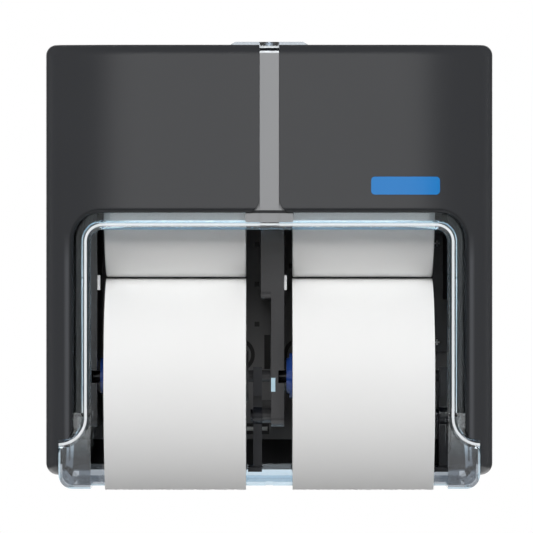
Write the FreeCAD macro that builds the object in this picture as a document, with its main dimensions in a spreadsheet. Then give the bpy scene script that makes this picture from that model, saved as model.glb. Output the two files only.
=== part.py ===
import FreeCAD, Part
import os
import re

import Sketcher
from FreeCAD import Placement, Rotation, Vector

# A wall-mounted twin toilet paper dispenser.
# Frame: X to the right, Y into the wall, Z up. The front faces -Y.
# The origin is on the wall plane, at the centre of the four wall-screw holes.
# All lengths are millimetres, all angles degrees.

SIZES = [
    # Cover, seen from outside
    ("body_width", 300.0),
    ("body_depth", 156.0),
    ("head_room", 26.1),
    ("foot_reach", 8.7),
    ("shroud_wall", 3.0),
    ("corner_radius", 13.0),
    ("sweep_radius", 150.0),
    ("sweep_back", 12.0),
    ("shoulder_width", 43.0),
    ("top_slope", 1.6),
    ("top_edge_radius", 7.0),
    ("foot_edge_radius", 8.0),
    ("rear_gap", 2.0),
    ("heel_radius", 10.0),
    ("strip_width", 13.2),
    ("strip_corner", 9.0),
    ("strip_sink", 0.6),
    ("fit_gap", 0.2),
    ("cut_past", 1.0),
    # Window in the dark shrouds
    ("leg_width", 19.0),
    ("panel_height", 116.5),
    ("window_radius", 18.0),
    ("window_round", 2.2),
    ("flare_rise", 34.7),
    ("flare_drop", 8.0),
    ("flare_margin", 8.4),
    ("flare_radius", 3.0),
    ("flare_bend", 20.0),
    # Clear cover
    ("clear_wall", 2.5),
    ("rim_inset", 30.5),
    ("rim_band", 11.4),
    ("rim_radius", 8.0),
    ("rim_return", 10.0),
    ("bead_radius", 2.9),
    ("bead_set", 0.4),
    ("bead_depth", 2.2),
    ("bead_bend", 18.0),
    ("bead_rise", 3.0),
    ("foot_margin", 9.0),
    ("foot_breadth", 28.0),
    ("foot_drop", 151.7),
    ("foot_waist", 16.0),
    ("foot_clear", 29.0),
    ("foot_set", 4.5),
    ("foot_corner", 9.5),
    ("floor_lap", 4.0),
    ("floor_rear", 38.0),
    ("lip_gap", 5.843),
    ("floor_rib", 3.0),
    ("floor_end_height", 27.0),
    ("floor_notch", 5.0),
    ("notch_depth", 10.0),
    # Cover hinge
    ("hinge_depth", 24.0),
    ("hinge_rise", 21.7),
    ("hinge_pin_radius", 3.0),
    ("ear_wall", 3.8),
    ("ear_front", 10.0),
    ("ear_drop", 8.5),
    ("ear_rise", 17.0),
    ("ear_gap", 1.7),
    ("running_gap", 0.05),
    # Lock
    ("lock_depth", 40.0),
    ("plateau_half", 28.0),
    ("plateau_length", 36.0),
    ("plateau_proud", 2.0),
    ("plateau_gap", 0.6),
    ("plateau_slope", 4.5),
    ("plateau_shoulder", 0.8),
    ("plateau_sink", 11.5),
    ("lock_radius", 7.0),
    ("lock_proud", 0.5),
    ("housing_radius", 10.0),
    ("housing_length", 6.5),
    ("cam_thick", 3.0),
    ("cam_reach", 13.0),
    ("cam_width", 8.0),
    ("eye_margin", 1.0),
    ("tooth_length", 3.5),
    ("tooth_drop", 6.0),
    ("key_width", 1.6),
    ("key_length", 8.0),
    ("key_sink", 4.0),
    ("cam_screw_radius", 2.0),
    ("cam_screw_head", 3.4),
    ("cam_screw_cap", 2.0),
    ("thread_depth", 6.5),
    ("thread_room", 1.0),
    ("strike_half", 3.5),
    ("strike_back_half", 7.0),
    ("strike_gap", 1.5),
    ("strike_under", 1.0),
    ("strike_thick", 2.0),
    ("strike_overlap", 4.5),
    ("strike_flange", 14.0),
    # Rolls
    ("front_room", 14.0),
    ("roll_space", 31.5),
    ("pitch_inset", 23.0),
    ("rear_room", 8.0),
    ("floor_room", 6.7),
    ("roll_gap", 0.4),
    ("core_radius", 20.0),
    ("core_wall", 1.5),
    ("plug_length", 15.0),
    ("plug_gap", 0.1),
    ("hub_radius", 15.8),
    ("hub_step_radius", 12.4),
    ("hub_disc", 2.0),
    ("hub_gap", 1.65),
    ("journal_radius", 4.0),
    ("journal_gap", 0.3),
    ("hub_journal", 3.6),
    ("cap_journal", 15.0),
    ("cap_radius", 17.5),
    ("cap_flange", 1.5),
    ("tail_radius", 104.6),
    ("tail_thick", 0.4),
    ("tail_gap", 0.3),
    ("tail_angle", 46.5),
    # Chassis
    ("plate_thick", 3.0),
    ("plate_margin", 7.4),
    ("plate_sink", 14.5),
    ("plate_rise", 27.7),
    ("plate_rim", 17.0),
    ("plate_rim_wall", 2.4),
    ("screw_hole_radius", 2.75),
    ("screw_margin", 42.6),
    ("screw_sink", 35.0),
    ("screw_lift", 24.0),
    ("skirt_reach", 30.0),
    ("skirt_drop", 17.0),
    ("skirt_thick", 3.0),
    ("skirt_margin", 6.6),
    ("ring_radius", 12.0),
    ("ring_width", 2.7),
    ("ring_sink", 1.2),
    ("ring_half_span", 22.0),
    ("ring_rise", 59.0),
    ("vial_radius", 1.5),
    ("vial_length", 36.0),
    ("vial_rise", 7.3),
    ("vial_sink", 2.0),
    ("vial_margin", 2.4),
    ("port_side", 3.4),
    ("port_web", 0.8),
    ("port_left", 8.5),
    ("port_right", 15.5),
    ("port_high", 136.5),
    ("port_middle", 108.5),
    ("port_low", 80.5),
    ("port_right_rise", 121.2),
    ("slot_width", 4.2),
    ("slot_height", 24.0),
    ("slot_left", 3.4),
    ("slot_rise", 73.0),
    ("track_thick", 8.8),
    ("track_reach", 25.0),
    ("track_sink", 35.0),
    ("track_lift", 12.0),
    ("track_step", 7.0),
    ("step_rise", 52.0),
    ("track_round", 6.0),
    ("hub_slot_depth", 4.0),
    ("seat_boss_radius", 11.0),
    ("seat_gap", 0.15),
    ("stop_thick", 1.8),
    ("stop_depth", 4.0),
    ("stop_height", 10.0),
    ("stop_rise", 69.0),
    ("catch_width", 2.8),
    ("catch_thick", 0.6),
    ("catch_height", 9.4),
    ("catch_sink", 0.7),
    ("flange_width", 8.2),
    ("flange_thick", 3.0),
    ("flange_margin", 7.0),
    ("flange_rise_high", 91.0),
    ("flange_rise_low", 22.0),
    ("flange_screw_head", 3.2),
    ("flange_screw_cap", 2.0),
    ("flange_screw_radius", 1.6),
    ("flange_screw_length", 5.5),
    ("cross_width", 1.0),
    ("cross_sink", 1.2),
    ("cross_half", 1.92),
    # Release levers
    ("lever_thick", 6.0),
    ("lever_gap", 4.75),
    ("pivot_lift", 7.0),
    ("lever_seat_gap", 0.1),
    ("lever_boss_radius", 7.0),
    ("lever_head_depth", 9.0),
    ("lever_head_rear", 5.0),
    ("lever_head_front", 15.0),
    ("lever_lip_height", 6.5),
    ("lever_lip_thick", 3.5),
    ("lever_lip_gap", 1.0),
    ("lever_arm_width", 8.0),
    ("pad_room", 8.7),
    ("lever_pad_reach", 16.0),
    ("lever_pad_thick", 3.0),
    ("lever_pad_side", 3.5),
    ("lever_pin_radius", 2.5),
    ("lever_pin_head", 4.2),
    ("lever_pin_cap", 1.5),
    ("lever_pin_sink", 6.0),
    ("spacer_radius", 5.0),
    ("spacer_gap", 0.3),
    ("leaf_thick", 0.6),
    ("leaf_width", 4.0),
    ("leaf_anchor", 16.0),
    ("leaf_rise", 2.0),
    ("leaf_drop", 20.0),
    ("leaf_gap", 0.3),
    ("anchor_height", 8.0),
    ("anchor_depth", 6.0),
    # Shroud fixings and label
    ("boss_radius", 4.0),
    ("boss_inset", 32.1),
    ("boss_drop", 24.0),
    ("boss_rise", 16.0),
    ("badge_width", 46.0),
    ("badge_height", 12.0),
    ("badge_thick", 0.6),
    ("badge_inset", 36.0),
    ("badge_rise", 12.0),
    ("badge_round", 2.5),
    ("fixing_radius", 1.5),
    ("fixing_head", 3.0),
    ("fixing_cap", 1.8),
]

# Lengths that follow from the sizes
FOLLOWS = {
    # Across the body
    "flat_half": "body_width/2 - shoulder_width",
    "window_half": "body_width/2 - leg_width",
    "flare_half": "body_width/2 - flare_margin",
    "rim_half": "body_width/2 - rim_inset",
    "foot_half": "body_width/2 - foot_margin",
    "foot_inner": "foot_half - foot_breadth",
    "plate_half": "body_width/2 - plate_margin",
    "skirt_half": "plate_half - skirt_margin",
    "screw_half_span": "plate_half - screw_margin",
    "badge_right": "body_width/2 - badge_inset",
    "boss_half_span": "flat_half - boss_inset",
    "roll_pitch": "body_width/2 - pitch_inset",
    "roll_width": "roll_pitch - roll_space",
    # From the wall to the front
    "roll_radius": "(body_depth - front_room - rear_room)/2",
    "roll_depth": "rear_room + roll_radius",
    "foot_rear": "roll_depth + foot_clear",
    "floor_front": "foot_rear + floor_lap",
    "track_front": "roll_depth + track_reach",
    # Heights above the origin
    "lower_axis": "roll_radius + floor_room - foot_drop",
    "upper_axis": "lower_axis + 2*roll_radius + roll_gap",
    "shroud_top": "upper_axis + roll_radius + head_room",
    "plateau_top": "shroud_top + plateau_proud",
    "plateau_bottom": "shroud_top - plateau_sink",
    "housing_bottom": "plateau_bottom - housing_length",
    "plate_top": "shroud_top - plate_sink",
    "screw_high": "plate_top - screw_sink",
    "track_top": "plate_top - track_sink",
    "window_top": "shroud_top - panel_height",
    "rim_top": "window_top - rim_band",
    "badge_low": "window_top + badge_rise",
    "boss_high": "shroud_top - boss_drop",
    "boss_low": "window_top + boss_rise",
    "flange_screw_high": "lower_axis + flange_rise_high",
    "flange_screw_low": "lower_axis + flange_rise_low",
    "step_foot": "lower_axis + step_rise",
    "stop_foot": "lower_axis + stop_rise",
    # Depths below the origin
    "shroud_foot": "foot_drop - foot_reach",
    "flare_top": "foot_drop - flare_rise",
    "bead_foot": "flare_top + flare_drop - bead_rise - bead_bend",
    "hinge_drop": "foot_drop - hinge_rise",
    "plate_bottom": "foot_drop - plate_rise",
    "screw_low": "plate_bottom - screw_lift",
    "track_bottom": "plate_bottom - track_lift",
    "ring_drop": "plate_bottom - ring_rise",
    "vial_drop": "plate_bottom - vial_rise",
    "slot_drop": "plate_bottom - slot_rise",
    "lever_pivot_drop": "track_bottom - pivot_lift",
    "lever_pad_drop": "foot_drop - pad_room - lever_pad_thick - lever_pivot_drop",
    # The tray's rear lip stays clear of the rolls above it
    "lip_behind": "roll_depth - floor_rear",
    "lip_clearance": "sqrt(roll_radius*roll_radius - lip_behind*lip_behind)",
    "floor_lip": "roll_radius + floor_room - lip_gap - lip_clearance",
}

WORDS = {"sin", "cos", "tan", "atan", "sqrt", "deg"}
TURN_TO_X = Rotation(Vector(0, 1, 0), 90)
TURN_TO_Y = Rotation(Vector(1, 0, 0), -90)
PLANES = {
    "XY": (Rotation(), Vector(0, 0, 1), "z"),
    "XZ": (Rotation(Vector(1, 0, 0), 90), Vector(0, 1, 0), "y"),
    "YZ": (Rotation(Vector(1, 1, 1), 120), Vector(1, 0, 0), "x"),
}

doc = FreeCAD.newDocument("dispenser")
sheet = doc.addObject("Spreadsheet::Sheet", "Sizes")
subparts = []


# Helpers that bind sizes to the sheet

def fill_sheet():
    for row, (alias, number) in enumerate(SIZES, start=1):
        sheet.set(f"A{row}", alias)
        sheet.set(f"B{row}", str(number))
        sheet.setAlias(f"B{row}", alias)
    doc.recompute()


def bound(text):
    """The expression with size names pointing at the sheet, and other lengths worked out from them."""
    def spelled(match):
        word = match.group(0)
        if word in FOLLOWS:
            return f"({bound(FOLLOWS[word])})"
        return word if word in WORDS else "Sizes." + word
    return re.sub(r"[a-z_][a-z_0-9]*", spelled, str(text))


def number(text):
    return float(sheet.evalExpression(bound(text)))


def place(obj, x="0", y="0", z="0"):
    for axis, text in (("x", x), ("y", y), ("z", z)):
        obj.setExpression(f"Placement.Base.{axis}", bound(text))
    return obj


def box(name, x, y, z):
    obj = doc.addObject("Part::Box", name)
    for side, (low, high) in (("Length", x), ("Width", y), ("Height", z)):
        obj.setExpression(side, bound(f"({high}) - ({low})"))
    return place(obj, x[0], y[0], z[0])


def rod(name, axis, radius, span, at):
    """A cylinder along X, Y or Z. span is its (low, high) on that axis, at its two other coordinates."""
    obj = doc.addObject("Part::Cylinder", name)
    obj.setExpression("Radius", bound(radius))
    obj.setExpression("Height", bound(f"({span[1]}) - ({span[0]})"))
    if axis == "x":
        obj.Placement = Placement(Vector(), TURN_TO_X)
        return place(obj, span[0], at[0], at[1])
    if axis == "y":
        obj.Placement = Placement(Vector(), TURN_TO_Y)
        return place(obj, at[0], span[0], at[1])
    return place(obj, at[0], at[1], span[0])


def outline(owner, name, points):
    """A closed polygon whose corners are bound to the sheet, two distances each."""
    sketch = owner(name)
    spots = [Vector(number(x), number(y), 0) for x, y in points]
    count = len(spots)
    for i in range(count):
        sketch.addGeometry(Part.LineSegment(spots[i], spots[(i + 1) % count]))
    for i in range(count):
        sketch.addConstraint(Sketcher.Constraint("Coincident", i, 2, (i + 1) % count, 1))
    for i, (x, y) in enumerate(points):
        for kind, text, size in (("DistanceX", x, spots[i].x), ("DistanceY", y, spots[i].y)):
            index = sketch.addConstraint(Sketcher.Constraint(kind, -1, 1, i, 1, size))
            sketch.setExpression(f"Constraints[{index}]", bound(text))
    return sketch


def prism(name, plane, points, low, high):
    turn, direction, normal = PLANES[plane]
    sketch = outline(lambda n: doc.addObject("Sketcher::SketchObject", n), name + "_outline", points)
    sketch.Placement = Placement(Vector(), turn)
    place(sketch, **{normal: low})
    obj = doc.addObject("Part::Extrusion", name)
    obj.Base = sketch
    obj.DirMode = "Custom"
    obj.Dir = direction
    obj.setExpression("LengthFwd", bound(f"({high}) - ({low})"))
    obj.Solid = True
    return obj


def cut(name, base, *tools):
    obj = doc.addObject("Part::Cut", name)
    obj.Base = base
    obj.Tool = tools[0] if len(tools) == 1 else fuse(name + "_tools", *tools)
    return obj


def fuse(name, *pieces):
    obj = doc.addObject("Part::MultiFuse", name)
    obj.Shapes = list(pieces)
    obj.Refine = True
    return obj


def common(name, first, second):
    obj = doc.addObject("Part::MultiCommon", name)
    obj.Shapes = [first, second]
    return obj


def rounded(name, base, *rules):
    """Fillets the edges that each rule picks. A rule is (test of an edge, radius)."""
    doc.recompute()
    obj = doc.addObject("Part::Fillet", name)
    obj.Base = base
    picked = []
    for test, radius in rules:
        size = number(radius)
        found = [(i, size, size) for i, edge in enumerate(base.Shape.Edges, start=1) if test(edge)]
        if not found:
            raise RuntimeError(f"{name}: no edge to round")
        picked += found
    obj.Edges = picked
    return obj


def along(axis, **near):
    """An edge test: straight along an axis, with its middle near the given coordinates."""
    def test(edge):
        if edge.Curve.TypeId != "Part::GeomLine":
            return False
        middle = edge.CenterOfMass
        lined_up = abs(abs(getattr(edge.Curve.Direction, axis)) - 1) < 1e-6
        return lined_up and all(abs(getattr(middle, k) - v) < 0.05 for k, v in near.items())
    return test


def keep(label, obj):
    obj.Label = label
    subparts.append(obj)
    return obj


def turned(label, points, x, y, z):
    """A body turned about the X axis from a half profile given as (along X, radius)."""
    body = doc.addObject("PartDesign::Body", label + "_body")
    planes = {o.Role: o for o in body.Origin.OriginFeatures}
    sketch = outline(lambda n: body.newObject("Sketcher::SketchObject", n), label + "_profile", points)
    sketch.AttachmentSupport = [(planes["XY_Plane"], "")]
    sketch.MapMode = "FlatFace"
    spin = body.newObject("PartDesign::Revolution", label + "_turning")
    spin.Profile = sketch
    spin.ReferenceAxis = (planes["X_Axis"], [""])
    spin.Angle = 360.0
    place(body, x, y, z)
    return keep(label, body)


# Places that several pieces share

HALF = "body_width/2"
SWEEP_TURN = "atan(sweep_back/(body_width/2 - flat_half))"
AXIS_HEIGHT = {"lower": "lower_axis", "upper": "upper_axis"}
SIDES = {"left": "-1", "right": "1"}
HUB_REACH = "(2*hub_disc + hub_gap)"
COVER_INSET = "(shroud_wall + fit_gap)"
CLEAR_INSIDE = f"({HALF} - {COVER_INSET} - clear_wall)"
PLATE_FACE = "-plate_thick"
PIVOT_Y = "-roll_depth"
PIVOT_Z = "-lever_pivot_drop"


def roll_start(side):
    """The X of a roll's left end."""
    return f"({SIDES[side]}*roll_pitch/2 - roll_width/2)"


def roll_end(side):
    """The X of a roll's right end."""
    return f"({SIDES[side]}*roll_pitch/2 + roll_width/2)"


# The cover: two dark shrouds over one clear shell

def bowed_block(name, inset, low, high, edge_radius=None, low_edge_radius=None):
    """A block with the cover's bowed front and falling top, inset from the outside of the shrouds."""
    corner = f"({HALF} - ({inset}))"
    shoulder = f"(-(body_depth - sweep_back) + ({inset})*tan((90 deg - {SWEEP_TURN})/2))"
    flat = f"(flat_half - ({inset})*tan({SWEEP_TURN}/2))"
    face = f"(-(body_depth - ({inset})))"
    rear = "-rear_gap" if edge_radius else "cut_past"
    points = [
        (f"-{corner}", rear), (f"-{corner}", shoulder), (f"-{flat}", face),
        (flat, face), (corner, shoulder), (corner, rear),
    ]
    block = prism(name + "_block", "XY", points, low, high)
    bowed = rounded(
        name + "_bowed", block,
        (along("z", y=number(shoulder)), f"corner_radius - ({inset})"),
        (along("z", y=number(face)), f"sweep_radius - ({inset})"),
    )
    wedge = doc.addObject("Part::Box", name + "_wedge")
    wedge.setExpression("Length", bound("2*body_width"))
    wedge.setExpression("Width", bound("3*body_depth"))
    wedge.setExpression("Height", bound("body_depth"))
    wedge.Placement = Placement(Vector(), Rotation(Vector(1, 0, 0), 1))
    wedge.setExpression("Placement.Rotation.Angle", bound("top_slope * 1 deg"))
    place(
        wedge, "-body_width",
        "-rear_gap - 2*body_depth*cos(top_slope * 1 deg)",
        f"({high}) - 2*body_depth*sin(top_slope * 1 deg)",
    )
    sloped = cut(name + "_sloped", bowed, wedge)
    if not edge_radius:
        return sloped
    front, floor_z = number("-rear_gap"), number(low)

    def on_top(edge):
        spots = [v.Point for v in edge.Vertexes]
        upright = abs(spots[0].z - spots[-1].z) > number("body_depth")
        at_rear = all(abs(p.y - front) < 0.01 for p in spots)
        return not upright and not at_rear and min(p.z for p in spots) > number("window_top")

    rules = [(on_top, edge_radius)]
    if low_edge_radius:
        rules.append((along("y", z=floor_z), low_edge_radius))
    return rounded(name + "_eased", sloped, *rules)


def window_tool(name, half, top, radius, rear):
    """A prism that cuts the paper window, open at the bottom."""
    points = [
        (f"-{half}", "-2*shroud_foot"), (f"-{half}", top), (half, top), (half, "-2*shroud_foot"),
    ]
    block = prism(name + "_block", "XZ", points, "-2*body_depth", rear)
    return rounded(name, block, (along("y", z=number(top)), radius))


def flare_tool(name, half, rear):
    """The lower part of the window, which widens around the clear feet."""
    points = [
        (f"-{half}", "-2*shroud_foot"), (f"-{half}", "-flare_top - flare_drop"),
        ("-window_half", "-flare_top"), ("-window_half", "0"), ("window_half", "0"),
        ("window_half", "-flare_top"),
        (half, "-flare_top - flare_drop"), (half, "-2*shroud_foot"),
    ]
    block = prism(name + "_block", "XZ", points, "-2*body_depth", rear)
    return rounded(
        name, block,
        (along("y", z=number("-flare_top - flare_drop")), "flare_radius"),
        (along("y", z=number("-flare_top")), "flare_bend"),
    )


def strip_tool():
    """The gap between the shrouds, with rounded corners where it meets the window."""
    half, wide = "strip_width/2", "(strip_width/2 + 2*strip_corner)"
    points = [
        (f"-{half}", "2*shroud_top"), (f"-{half}", "window_top"), (f"-{wide}", "window_top"),
        (f"-{wide}", "rim_top"), (wide, "rim_top"), (wide, "window_top"), (half, "window_top"),
        (half, "2*shroud_top"),
    ]
    block = prism("shroud_strip_block", "XZ", points, "-2*body_depth", "0")
    return rounded("shroud_strip_gap", block, *(
        (along("y", x=number(f"{sign}*{half}"), z=number("window_top")),
         "strip_corner") for sign in SIDES.values()))


def heel_tool(name):
    """Rounds the lower rear corner, which swings past the wall as the cover opens."""
    corner = box(name + "_corner", ("-body_width", "body_width"), ("-rear_gap - heel_radius", "cut_past"),
                 ("-shroud_foot - cut_past", "-shroud_foot + heel_radius"))
    arc = rod(name + "_arc", "x", "heel_radius", ("-2*body_width", "2*body_width"),
              ("-rear_gap - heel_radius", "-shroud_foot + heel_radius"))
    return cut(name, corner, arc)


def plateau_box(name, margin, low, high):
    return box(
        name,
        (f"-plateau_half - ({margin})", f"plateau_half + ({margin})"),
        (f"-lock_depth - plateau_length/2 - ({margin})", f"-lock_depth + plateau_length/2 + ({margin})"),
        (low, high),
    )


def shrouds():
    outer = bowed_block("shroud_outside", "0", "-shroud_foot", "shroud_top", "top_edge_radius",
                        "foot_edge_radius")
    inner = bowed_block("shroud_inside", "shroud_wall", "-shroud_foot + shroud_wall",
                        "shroud_top - shroud_wall")
    shell = cut("shroud_shell", outer, inner)
    window = window_tool("shroud_window", "window_half", "window_top", "window_radius", "-foot_rear")
    flare = flare_tool("shroud_flare", "flare_half", "-foot_rear")
    under = box(
        "shroud_underside", ("-plate_half - ear_gap", "plate_half + ear_gap"),
        ("-foot_rear - cut_past", "0"),
        ("-2*shroud_foot", "-shroud_foot + shroud_wall + fit_gap"),
    )
    plateau = plateau_box("shroud_lock_gap", "plateau_gap", "plateau_bottom - 4*shroud_wall",
                          "2*shroud_top")
    framed = rounded(
        "shroud_framed", cut("shroud_windowed", shell, window),
        (along("x", y=number("-body_depth"), z=number("window_top")), "window_round"),
    )
    open_shell = cut("shroud_open", framed, flare, under, strip_tool(), plateau, heel_tool("shroud_heel"))
    for side, sign in SIDES.items():
        span = ("-body_width", "0") if side == "left" else ("0", "body_width")
        half = box(f"{side}_half", span, ("-2*body_depth", "0"), ("-2*shroud_foot", "2*shroud_top"))
        shell_half = common(f"{side}_shroud_shell", open_shell, half)
        bosses = fuse(f"{side}_shroud_with_bosses", shell_half, *shroud_bosses(side, sign))
        keep(f"{side}_shroud", cut(f"{side}_shroud_drilled", bosses, *shroud_boss_holes(side, sign)))


BOSS_HEIGHTS = {"high": "boss_high", "low": "boss_low"}
BOSS_BACK = "(-body_depth + shroud_wall + fit_gap + clear_wall)"


def shroud_bosses(side, sign):
    """Screw bosses behind each shroud, which pass through the clear shell."""
    return [
        rod(f"{side}_boss_{name}", "y", "boss_radius", ("-body_depth + shroud_wall/2", BOSS_BACK),
            (f"{sign}*boss_half_span", height))
        for name, height in BOSS_HEIGHTS.items()
    ]


def shroud_boss_holes(side, sign):
    return [
        rod(f"{side}_boss_hole_{name}", "y", "fixing_radius",
            ("-body_depth + shroud_wall/2", f"{BOSS_BACK} + cut_past"),
            (f"{sign}*boss_half_span", height))
        for name, height in BOSS_HEIGHTS.items()
    ]


def shroud_fixings():
    """Small screws with wide heads that clamp the clear shell to the bosses."""
    pieces = []
    for side, sign in SIDES.items():
        for name, height in BOSS_HEIGHTS.items():
            at = (f"{sign}*boss_half_span", height)
            head = rod(f"{side}_{name}_fixing_head", "y", "boss_radius + fixing_head",
                       (BOSS_BACK, f"{BOSS_BACK} + fixing_cap"), at)
            shank = rod(f"{side}_{name}_fixing_shank", "y", "fixing_radius - running_gap",
                        ("-body_depth + shroud_wall", BOSS_BACK), at)
            pieces.append(fuse(f"{side}_{name}_fixing", head, shank))
    group = doc.addObject("Part::Compound", "fixing_group")
    group.Links = pieces
    keep("shroud_screws", group)


def foot_outline(side, wall):
    """One clear foot seen from the front, drawn in by a wall."""
    sign = SIDES[side]
    inner, outer, drop = f"(foot_inner + {wall})", f"(foot_half - {wall})", f"(-foot_drop + {wall})"
    points = [
        (f"(rim_half + {wall})", f"(-flare_top + foot_waist - {wall})"),
        (f"(window_half - {wall})", f"(-flare_top + foot_waist - {wall})"),
        (f"(window_half - {wall})", "-flare_top"),
        (outer, "(-flare_top - flare_drop)"),
        (outer, drop), (inner, drop),
        (inner, "(-foot_drop + foot_waist)"),
        (f"(rim_half + {wall})", "(-flare_top - flare_drop)"),
    ]
    return [(f"{sign}*{x}", y) for x, y in points]


def clear_feet():
    feet = []
    for side, sign in SIDES.items():
        front = "-(body_depth - foot_set)"
        block = prism(f"{side}_foot_block", "XZ", foot_outline(side, "0"), front, "-foot_rear")
        eased = rounded(
            f"{side}_foot_eased", block,
            (along("y", z=number("-foot_drop"), x=number(f"{sign}*foot_half")), "foot_corner"),
            (along("y", z=number("-flare_top - flare_drop"), x=number(f"{sign}*foot_half")),
             "foot_corner"),
            (along("y", z=number("-foot_drop + foot_waist")), "foot_waist"),
        )
        hollow = prism(f"{side}_foot_hollow_block", "XZ", foot_outline(side, "clear_wall"),
                       f"{front} + clear_wall", "-foot_rear + cut_past")
        hollow_eased = rounded(
            f"{side}_foot_hollow", hollow,
            (along("y", z=number("-foot_drop + clear_wall"),
                   x=number(f"{sign}*(foot_half - clear_wall)")),
             "foot_corner - clear_wall"),
        )
        feet.append(cut(f"{side}_foot", eased, hollow_eased))
    return feet


def rim_bead():
    """The rolled lip around the window: straight runs with quarter turns between them."""
    bend = "(rim_radius + bead_radius + bead_set)"
    x, top = "(rim_half + bead_radius + bead_set)", "(rim_top + bead_radius + bead_set)"
    bead_y = f"(-body_depth + {COVER_INSET} + bead_depth)"
    pieces = [rod("bead_top", "x", "bead_radius", (f"-{x} + {bend}", f"{x} - {bend}"), (bead_y, top))]
    for side, sign in SIDES.items():
        pieces.append(rod(f"{side}_bead_run", "z", "bead_radius", ("-bead_foot", f"{top} - {bend}"),
                          (f"{sign}*{x}", bead_y)))
        right = side == "right"
        pieces.append(place(quarter_bead(f"{side}_bead_turn", bend, 0 if right else -90),
                            f"{sign}*({x} - {bend})", bead_y, f"{top} - {bend}"))
        pieces.append(place(quarter_bead(f"{side}_bead_sweep", "bead_bend", 180 if right else 90),
                            f"{sign}*({x} + bead_bend)", bead_y, "-bead_foot"))
    return pieces


def quarter_bead(name, bend, turn):
    """A quarter turn of the lip, seen from the front."""
    obj = doc.addObject("Part::Torus", name)
    obj.setExpression("Radius1", bound(bend))
    obj.setExpression("Radius2", bound("bead_radius"))
    obj.Angle3 = 90.0
    obj.Placement = Placement(Vector(), Rotation(Vector(0, 1, 0),
                                                 turn).multiply(Rotation(Vector(1, 0, 0), 90)))
    return obj


def clear_floor():
    """The clear tray under the rolls, with its rear lip, middle rib and end walls."""
    base = "-foot_drop"
    tray = box("floor_tray", ("-foot_half + foot_corner", "foot_half - foot_corner"),
               ("-floor_front", "-floor_rear"), (base, f"{base} + clear_wall"))
    lip = box("floor_rear_lip", ("-foot_half + foot_corner", "foot_half - foot_corner"),
              ("-floor_rear - clear_wall", "-floor_rear"), (base, f"{base} + floor_lip"))
    rib = box("floor_middle_rib", ("-foot_half + foot_corner", "foot_half - foot_corner"),
              ("-(floor_front + floor_rear)/2", "-(floor_front + floor_rear)/2 + clear_wall"),
              (base, f"{base} + clear_wall + floor_rib"))
    notch = box("floor_notch_gap", ("-floor_notch/2", "floor_notch/2"),
                ("-floor_front - cut_past", "-floor_front + notch_depth"),
                (f"{base} - cut_past", f"{base} + 2*clear_wall"))
    pieces = [cut("floor_plate", fuse("floor_ribbed", tray, lip, rib), notch)]
    for side, sign in SIDES.items():
        span = ("foot_half - clear_wall", "foot_half")
        if side == "left":
            span = ("-foot_half", "-foot_half + clear_wall")
        wall = box(f"{side}_floor_end", span, ("-floor_front", "-floor_rear"),
                   (f"{base} + foot_corner", f"{base} + floor_end_height"))
        out = ("foot_half - clear_wall", f"{CLEAR_INSIDE} + clear_wall/2")
        if side == "left":
            out = (f"-({out[1]})", f"-({out[0]})")
        shelf = box(f"{side}_floor_shelf", out, ("-floor_front", "-floor_rear"),
                    (f"{base} + floor_end_height - clear_wall", f"{base} + floor_end_height"))
        ramp_points = [
            (f"{sign}*(foot_half - foot_corner)", base), (f"{sign}*foot_half", f"{base} + foot_corner"),
            (f"{sign}*foot_half", f"{base} + foot_corner + clear_wall"),
            (f"{sign}*(foot_half - clear_wall)", f"{base} + foot_corner + clear_wall"),
            (f"{sign}*(foot_half - foot_corner)", f"{base} + clear_wall"),
        ]
        ramp = prism(f"{side}_floor_ramp", "XZ", ramp_points, "-floor_front", "-floor_rear")
        pieces += [wall, shelf, ramp]
    return pieces


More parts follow.
